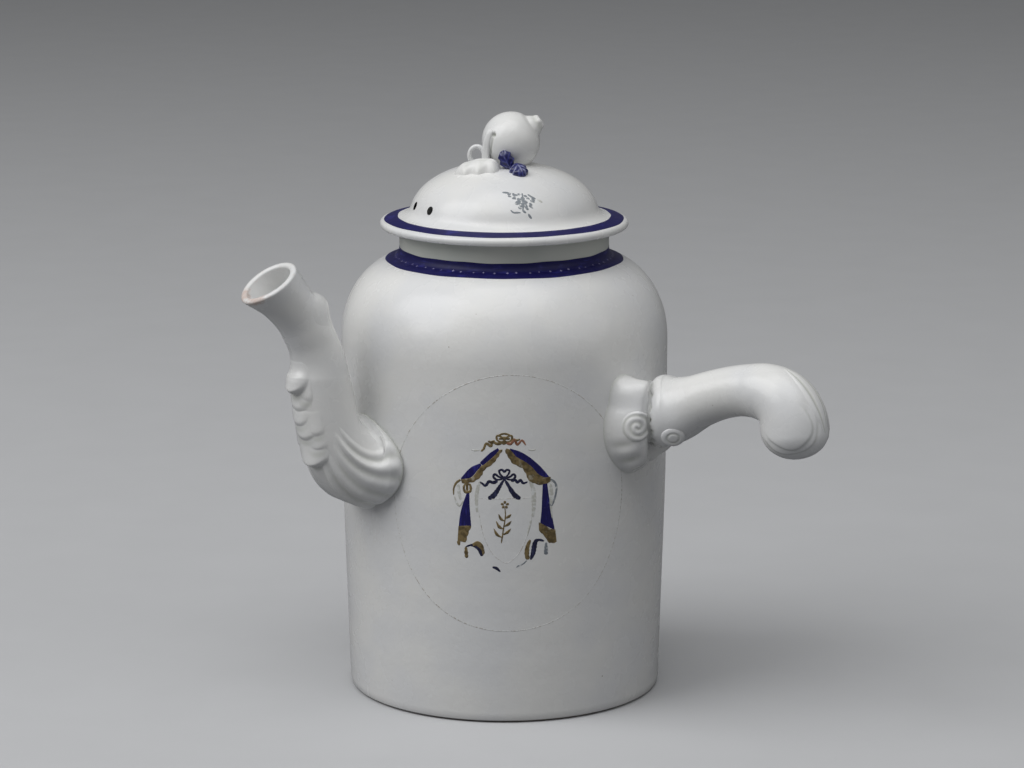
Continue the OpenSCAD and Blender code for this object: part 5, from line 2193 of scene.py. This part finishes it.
@dataclass(kw_only=True)
class Decoration(Part):
    """Painted hangings with bows round an empty field, on the body between spout and handle.

    Attributes:
        body: The body that carries it.
        facing: Direction of its middle.
        middle_z: Height of its middle.
        ring_shift: How far the worn ring's middle lies to the right.
        ring_wide: Half the worn ring's width.
        ring_high: Half its height.
    """

    body: Body
    facing: float = 237.0
    middle_z: float = 90.0
    ring_shift: float = 2.1
    ring_wide: float = 49.4
    ring_high: float = 52.2

    lifts = {Paint.GHOST: 0.04, Paint.PALE: 0.05, Paint.GREY: 0.06, Paint.BLUE: 0.055, Paint.INK: 0.06,
             Paint.GOLD: 0.08, Paint.RED_GOLD: 0.085}
    names = {Paint.GHOST: "worn_outlines", Paint.PALE: "pale_wash", Paint.GREY: "grey_wash",
             Paint.BLUE: "blue_hangings", Paint.INK: "ink_bow", Paint.GOLD: "gilding",
             Paint.RED_GOLD: "red_gilding"}

    def wrapped(self, flat: Array, lift: Array) -> Array:
        """Points of the flat drawing, x to the right and y up, laid on the body."""
        z = self.middle_z + flat[..., 1]
        angle = self.facing + np.degrees(flat[..., 0] / self.body.radius(z))
        return self.body.on_wall(angle, z, lift)

    def crest(self) -> list:
        """Bow and ribbons above the hangings."""
        gold, red = Paint.GOLD, Paint.RED_GOLD
        loop = [(0, 26.1), (-1.4, 27.8), (-2.9, 28), (-2.8, 26.4), (-1.2, 25.6), (0, 26.1)]
        marks: list = both_sides(gold, loop, (0.85,))
        marks += [
            Stroke(gold, [(-2.4, 28.3), (0, 28.9), (2.4, 28.3)], (0.6, 0.85, 0.6)),
            Stroke(gold, [(-0.9, 25.2), (0.9, 25.2)], (1.5,)),
            Stroke(gold, [(-2.2, 26.8), (0, 27.2), (2.2, 26.8)], (0.9, 1.3, 0.9)),
            Stroke(gold, [(-6.4, 25.9), (-5.2, 25.4), (-3.8, 26.2)], (0.8, 1.1, 0.7)),
            Stroke(gold, [(3.2, 26.9), (4.6, 26.2), (6.2, 26.6)], (0.7, 1.0, 0.7)),
            Stroke(gold, [(-0.8, 25.1), (-3, 24.9), (-4.6, 25.7), (-5.3, 23.9), (-7.1, 24.9), (-8.1, 22.7),
                          (-9.2, 21.7)], (1.3, 1.1, 0.8)),
            Stroke(red, [(0.8, 25.1), (2.6, 24.9), (3.9, 26.5), (5.1, 24.5), (6.9, 26.1), (8.5, 24.1)],
                   (1.2, 1.0, 0.7)),
            Stroke(Paint.PALE, [(-13.2, 22.2), (-11.6, 21.9), (-9.6, 22.1)], (0.6,)),
            Stroke(Paint.PALE, [(9.4, 22.4), (11.2, 22), (12.4, 22.3)], (0.6,)),
        ]
        return marks

    def swags(self) -> list:
        """Drawn-up hangings to both sides, with their gilt fringes."""
        blue, gold, pale = Paint.BLUE, Paint.GOLD, Paint.PALE
        return [
            Field(blue, [(-2.6, 23.2), (-5.9, 20.9), (-9.6, 17.2)],
                  [(-1.9, 22.2), (-4, 19.8), (-8.4, 15.8)]),
            Field(blue, [(-9.3, 17), (-13.4, 14.9), (-17.3, 10.5)],
                  [(-8.9, 16), (-10.7, 13.8), (-13.2, 11), (-17, 10)]),
            Field(gold, [(-1.9, 22.5), (-4, 20), (-7.3, 17), (-8.9, 15.9), (-10.7, 13.7), (-13.1, 11),
                         (-17.3, 10)],
                  [(-0.5, 22.6), (-2.3, 19.8), (-4.4, 16.9), (-7.8, 14.3), (-9.1, 11.7), (-12.2, 9.3),
                   (-16.7, 8.3)],
                  9),
            Stroke(gold, [(-15.6, 8.3), (-13.6, 8), (-13.4, 5.6), (-15.4, 5), (-16.1, 6.8), (-15.5, 8.3)],
                   (1.1,)),
            Stroke(gold, [(-14.8, 8.2), (-14.7, 5.4)], (1.1,)),
            Stroke(gold, [(-17.4, 9.9), (-19.2, 8.4), (-20.2, 6.1), (-20.2, 3.5)], (1.0, 0.8, 0.5)),
            Stroke(pale, [(-20, 3.1), (-19, 0.5), (-17.8, -0.7), (-16.4, 1.3)], (0.8,)),
            Stroke(pale, [(-18.4, 8), (-18, 4.5), (-17.4, 1.8)], (1.2, 1.5, 0.9)),
            Field(blue, [(2.2, 23), (6.3, 21.6), (10.3, 19), (14.4, 15.2), (18.2, 10.6)],
                  [(2.4, 22), (4.4, 19.2), (8, 17), (10.9, 14.2), (14.4, 10.4), (18.2, 10.3)]),
            Field(gold, [(0.8, 23), (2.6, 22.3), (4.9, 19.7), (8.5, 17.5), (11.3, 15.2), (13.2, 12.9),
                         (15.8, 11.2), (18.4, 11)],
                  [(0.2, 22), (1.3, 20), (3.3, 17), (6.9, 15), (8.6, 12.4), (10, 9.5), (14.6, 8), (18.4, 9)],
                  9),
            Stroke(Paint.GREY, [(18.3, 10.1), (20.3, 8.3), (20.8, 5.6), (20, 1.9), (18.8, -0.7),
                                (17.5, 0.9)],
                   (1.0, 0.8, 0.5)),
            Stroke(pale, [(18.4, 8.2), (18.7, 4), (18.5, -2), (18.9, -6)], (1.0, 1.6, 1.2, 0.8)),
        ]

    def falls(self) -> list:
        """Hangings that fall straight at both sides, with fringes and tassels."""
        blue, gold, ink = Paint.BLUE, Paint.GOLD, Paint.INK
        return [
            Field(blue, [(-14.9, 4.6), (-16.5, 0.1), (-17.6, -4.3), (-18.2, -9)],
                  [(-13.8, 4.6), (-13.7, -0.7), (-13.4, -5.1), (-13.1, -8.6)]),
            Field(gold, [(-18.3, -9), (-18.5, -12), (-18.7, -15)],
                  [(-13, -8.5), (-14.4, -12), (-15.4, -15.6)], 3),
            Stroke(gold, [(-18.3, -15), (-18.1, -16.9)], (1.5, 1.0)),
            Stroke(gold, [(-15.3, -17.2), (-15.2, -19.6), (-15, -21.9)], (0.8, 1.6, 1.2)),
            Field(blue, [(15.2, 9), (14.9, 2.1), (14.7, -2.7), (14.2, -7.7)],
                  [(17, 8.6), (18, 1.3), (18.8, -3.5), (20.2, -10.8)]),
            Field(gold, [(13.6, -7.2), (15.6, -8.2), (18, -9.9), (20.4, -10.6)],
                  [(13.7, -10.6), (15.8, -12.8), (18, -15.8), (21, -15.8)], 4),
            Stroke(Paint.GREY, [(16.6, -15.6), (16.6, -18), (16.6, -20.6)], (0.8, 1.4, 1.8)),
            Stroke(ink, [(-15.6, -17.4), (-13.2, -16.5), (-11.2, -17.1), (-9.5, -18.6), (-8.8, -20.8)],
                   (0.6, 0.9, 1.4, 1.8, 1.6)),
            Field(gold, [(-12.8, -15.9), (-10.6, -14.7), (-8.5, -16.2), (-7.7, -19.4)],
                  [(-12.4, -16.9), (-10.8, -17), (-9.2, -18.4), (-8.5, -20.6)]),
            Stroke(ink, [(15.8, -15), (13.8, -14.4), (12.4, -15), (11.8, -17.2), (11.4, -19.6),
                         (10.4, -22.4)],
                   (0.8, 1.0, 1.7, 2.1, 1.9, 1.1)),
            Stroke(gold, [(10.2, -14.2), (9.1, -17.2), (8.9, -20.4), (9.5, -22.2)], (1.1, 1.9, 1.6)),
            Stroke(Paint.GREY, [(8.9, -22.6), (7.3, -24), (5.7, -24.6), (4.7, -25.4)], (0.6,)),
            Stroke(ink, [(-4.7, -25.2), (-3.1, -25.7), (-1.6, -27.1)], (0.8, 1.4, 0.7)),
        ]

    def inner_bow(self) -> list:
        """Ink-blue bow with its ribbons, and the faint outline under it."""
        ink = Paint.INK
        marks: list = [
            Stroke(ink, [(-0.2, 11.2), (-1.6, 12.6), (-2, 14), (-0.9, 14.4), (0, 13.6), (0.9, 14.4), (2, 14),
                         (1.6, 12.6), (0.2, 11.2)], (1.0,)),
            Stroke(ink, [(-2.6, 9.8), (-4.4, 9.2), (-6, 9.6), (-7.4, 7.9), (-8.5, 8.6), (-9.8, 9.4)],
                   (1.4, 1.2, 0.8)),
            Stroke(ink, [(2.6, 9.8), (4.2, 10.3), (5.2, 9.3), (6.4, 10.2), (7.4, 8.9), (9.2, 9.4)],
                   (1.3, 1.1, 0.8)),
            Stroke(ink, [(-0.7, 10.9), (0.7, 10.9)], (1.9,)),
        ]
        loop = [(-0.3, 11), (-2.2, 11.6), (-3.6, 12.6), (-4.3, 11.6), (-3, 10.4), (-0.5, 10.7)]
        marks += both_sides(ink, loop, (1.0,))
        marks += both_sides(ink, [(-0.2, 10.4), (-1.6, 8), (-3, 5.6), (-4.4, 3.8), (-6.4, 2.6)],
                            (0.9, 1.3, 1.8, 2.2, 1.5))
        ghost = Paint.GHOST
        marks += [
            Stroke(ghost, [(-11, 2.7), (-4, 2.6), (5, 2.8), (12.8, 2.6)], (0.25,)),
            Stroke(ghost, [(-11, 4), (-10.8, 1.3), (-9.8, -4.7), (-8.1, -12.7), (-4.5, -20), (0.2, -23.6)],
                   (0.3,)),
            Stroke(ghost, [(11, 4), (10.9, -2.7), (9.6, -10), (6.5, -18.4), (2.6, -22.8), (0.2, -23.6)],
                   (0.3,)),
            Stroke(Paint.PALE, [(10.6, -6), (9.8, -9.4), (8.9, -12.7)], (0.9, 0.6)),
            Stroke(Paint.PALE, [(-9.6, 9.6), (-10.6, 6), (-11, 2.4), (-10.8, -3)], (1.2, 1.6, 1.0)),
            Stroke(Paint.PALE, [(9.8, 10.4), (11.4, 6), (11.6, 0), (11.2, -5)], (1.2, 1.9, 1.2)),
        ]
        return marks

    def sprig(self) -> list:
        """Small gilt sprig in the field's middle."""
        gold = Paint.GOLD
        marks: list = [Stroke(gold, [(-1.2, -15.4), (-0.4, -10), (0.4, -4.5), (0.2, -0.8)], (0.6, 0.5, 0.4))]
        for y, x, size in ((-12.6, -0.8, 3.4), (-9.2, -0.25, 3.0), (-5.9, 0.2, 2.5)):
            for side in (-1, 1):
                start = (x, y + 0.5 * side)
                bend = (x + side * size * 0.6, y + size * 0.35 + 0.5 * side)
                marks.append(Stroke(gold, [start, bend, (x + side * size, y + size * 0.95)],
                                    (0.3, 1.3, 0.25)))
        for turn in range(5):
            a = math.radians(90 + 72 * turn)
            line = [(0.2 + far * math.cos(a), 0.2 + far * math.sin(a)) for far in (0.4, 1.7)]
            marks.append(Stroke(gold, line, (0.5, 1.2, 0.6)))
        return marks

    def build(self) -> None:
        """Build the decoration, one piece for each paint, and the worn ring round it."""
        marks = self.crest() + self.swags() + self.falls() + self.inner_bow() + self.sprig()
        for paint in Paint:
            grids = [mark.grid() for mark in marks if mark.paint is paint]
            self.put_paint(self.names[paint], grids, paint, self.lifts[paint])
        turn = np.linspace(0, 2 * np.pi, 721)
        wander = 0.5 * np.sin(2 * turn + 0.6) + 0.3 * np.sin(5 * turn)
        width = 0.34 + 0.1 * np.sin(3 * turn + 1)
        b = np.linspace(-0.5, 0.5, 4)[:, None]
        x = self.ring_shift + (self.ring_wide + wander + b * width) * np.cos(turn)
        y = (self.ring_high + wander + b * width) * np.sin(turn)
        line = np.stack([x, y], -1).transpose(1, 0, 2)[:-1]
        parts = np.array_split(np.concatenate([line, line[:1]]), 24)
        self.put_paint("worn_ring", parts, Paint.GHOST, 0.035)

    def put_paint(self, name: str, grids: Sequence[Array], paint: Paint, lift: float) -> None:
        """Build one painted piece from the flat grids that it covers."""
        layers = [film(self.wrapped, flat, lift, 0.3, True) for flat in grids]
        self.piece(f"decoration_{name}", Shape.joined(layers), self.palette.paints[paint],
                   sharp=PAINT_CREASE)


@dataclass(kw_only=True)
class LidSprig(Part):
    """Small painted flower on the lid, towards the front.

    Attributes:
        lid: The lid that carries it.
        turn: Turn of the finial's frame, in which it is placed.
        x: Its middle, to the right.
        y: Its middle, to the front.
    """

    lid: Lid
    rides_on: str = LID
    turn: float = -33.0
    x: float = 7.1
    y: float = -33.0

    def marks(self) -> list:
        """Strokes of the flower, x to the right and y up the dome."""
        slate, pale = Paint.GREY, Paint.PALE
        strokes: list = [
            Stroke(slate, [(-7.9, 3.7), (-6, 3.5), (-4.3, 3.2)], (1.05,)),
            Stroke(slate, [(-5.7, 1.7), (-4.3, 1.4)], (1.05,)),
            Stroke(slate, [(-3.6, 3.6), (-3.2, 1.8), (-2.6, 0.2)], (1.05,)),
            Stroke(slate, [(2.2, 4), (3.8, 3.2), (5.4, 2.9)], (1.05,)),
            Stroke(pale, [(5.9, 2.9), (8.1, 2.7)], (0.9,)),
            Stroke(slate, [(3.2, 1.2), (5, 1.3)], (1.05,)),
            Stroke(slate, [(2.6, -1.2), (4.4, -1.6)], (0.9,)),
            Stroke(slate, [(-4.6, -5.2), (-3.4, -6.2), (-1.8, -5.8), (-0.6, -5.4)], (0.8,)),
            Stroke(slate, [(2.4, -4.6), (3.4, -5.4), (4.5, -6)], (1.2,)),
            Stroke(slate, [(0, 4.2), (0.3, 1), (0.4, -2), (0.2, -4.6)], (0.8,)),
        ]
        dabs = [(-2.4, 2.4), (-1.2, 3.2), (1.3, 2.9), (2.3, 1.9), (-2.2, -1.9), (1.9, -2.6),
                (-0.9, -3.6), (0.9, -4.4), (-5.2, 2.7), (4.4, 2.1), (-3.4, 0.6), (3.4, -0.2)]
        for dab, (x, y) in enumerate(dabs):
            line = [(x - 0.7, y + 0.3 - 0.2 * (dab % 3)), (x + 0.7, y - 0.2 * (dab % 2))]
            strokes.append(Stroke(slate, line, (0.7, 1.1, 0.7)))
        for turn in range(6):
            a = math.radians(20 + 60 * turn)
            line = [(-0.1 + far * math.cos(a), -0.6 + far * math.sin(a))
                    for far in (0.4, 2.4 + 0.4 * (turn % 2))]
            strokes.append(Stroke(slate, line, (1.0, 1.9, 1.1)))
        return strokes

    def wrapped(self, flat: Array, lift: Array) -> Array:
        """Points of the flat drawing laid on the dome."""
        line = np.linspace(-12, 12, 241)
        length = lengths(np.stack([line, self.lid.on_dome(self.x, self.y + line)], -1))
        length = length - np.interp(0, line, length)
        x = self.x + flat[..., 0]
        y = self.y + np.interp(flat[..., 1], length, line)
        point = self.lid.shaped(np.stack([x, y, self.lid.on_dome(x, y)], -1))
        away = unit(np.stack([x, y, 0.9 * np.hypot(x, y)], -1))
        return turned(point + away * np.asarray(lift)[..., None], self.turn)

    def build(self) -> None:
        """Build the flower."""
        for paint, name in ((Paint.GREY, "lid_sprig"), (Paint.PALE, "lid_sprig_pale")):
            layers = [film(self.wrapped, mark.grid(), 0.06, 0.4, False) for mark in self.marks()
                      if mark.paint is paint]
            self.piece(name, Shape.joined(layers), self.palette.paints[paint], sharp=PAINT_CREASE)


# Studio

@dataclass
class Studio:
    """Floor, lights and camera.

    Attributes:
        floor_half: Half the floor's width in metres.
        camera_at: Place of the camera in metres.
        camera_down: How far the camera looks down, in degrees.
        camera_turn: Turn of the camera about the upright axis, in degrees.
        lens: Focal length in millimetres.
        look_at: Height of the pot's middle in metres.
        facing: Direction of the camera from the pot, in degrees.
        sky: Level of the light from all around.
    """

    floor_half: float = 6.0
    camera_at: tuple[float, float, float] = (-0.7578, -1.1669, 0.4213)
    camera_down: float = 12.04
    camera_turn: float = -33.13
    lens: float = 122.4
    look_at: float = 0.11
    facing: float = 237.0
    sky: float = 0.17

    def build(self) -> None:
        """Build the floor, the lights and the camera."""
        self.build_floor()
        self.lamp("key", -68, 40, 2.6, 2.3, 0.55)
        self.lamp("top", -5, 72, 2.4, 2.4, 0.46)
        self.lamp("fill", 60, 30, 2.4, 2.0, 0.12)
        self.build_world()
        self.build_camera()

    def build_floor(self) -> None:
        """Build a gently uneven sheet of paper under the pot."""
        form = bmesh.new()
        bmesh.ops.create_grid(form, x_segments=48, y_segments=48, size=self.floor_half)
        mesh = bpy.data.meshes.new("floor")
        form.to_mesh(mesh)
        form.free()
        floor = shown("floor", mesh)
        floor.data.materials.append(PaleFloor().material())

    def lamp(self, name: str, azimuth: float, elevation: float, distance: float, size: float,
             share: float) -> None:
        """Hang one soft light.

        Args:
            name: Its name.
            azimuth: Its direction in degrees, counted to the right of the camera.
            elevation: Its height in degrees.
            distance: Its distance in metres.
            size: Its width in metres.
            share: Share of the plain level that it gives.
        """
        light = bpy.data.lights.new(name, "AREA")
        light.shape = "DISK"
        light.size = size
        light.energy = share * math.pi**2 * distance**2
        made = shown(name, light)
        a, e = math.radians(self.facing + azimuth), math.radians(elevation)
        way = Vector((math.cos(a) * math.cos(e), math.sin(a) * math.cos(e), math.sin(e)))
        made.location = way * distance + Vector((0, 0, self.look_at))
        made.rotation_euler = way.to_track_quat("Z", "Y").to_euler()

    def build_world(self) -> None:
        """Make the pale surroundings."""
        world = bpy.data.worlds.new("studio")
        world.use_nodes = True
        tree = world.node_tree
        back = tree.nodes["Background"]
        back.inputs["Color"].default_value = (0.86, 0.87, 0.88, 1.0)
        path = tree.nodes.new("ShaderNodeLightPath")
        level = tree.nodes.new("ShaderNodeMapRange")
        level.inputs["To Min"].default_value = self.sky
        level.inputs["To Max"].default_value = 0.72
        tree.links.new(path.outputs["Is Camera Ray"], level.inputs["Value"])
        tree.links.new(level.outputs["Result"], back.inputs["Strength"])
        bpy.context.scene.world = world

    def build_camera(self) -> None:
        """Set up the camera at the photograph's viewing angle."""
        data = bpy.data.cameras.new("camera")
        data.lens = self.lens
        data.sensor_width = 36.0
        data.sensor_fit = "HORIZONTAL"
        data.clip_end = 60.0
        camera = shown("camera", data)
        camera.location = self.camera_at
        camera.rotation_euler = (math.radians(90 - self.camera_down), 0.0, math.radians(self.camera_turn))
        bpy.context.scene.camera = camera


def main() -> None:
    """Build the pot, its decoration and the studio, in order."""
    logging.basicConfig(level=logging.INFO, format="%(name)s: %(message)s")
    bpy.context.scene.view_settings.view_transform = "Standard"
    palette = Palette()
    body = Body(palette=palette)
    lid = Lid(palette=palette, body=body)
    spout, handle, decoration = (kind(palette=palette, body=body) for kind in (Spout, Handle, Decoration))
    finial, lid_sprig = (kind(palette=palette, lid=lid) for kind in (Finial, LidSprig))
    for part in (body, spout, handle, lid, finial, decoration, lid_sprig):
        log.info("building %s", type(part).__name__)
        part.build()
    Studio().build()


if __name__ == "__main__":
    main()
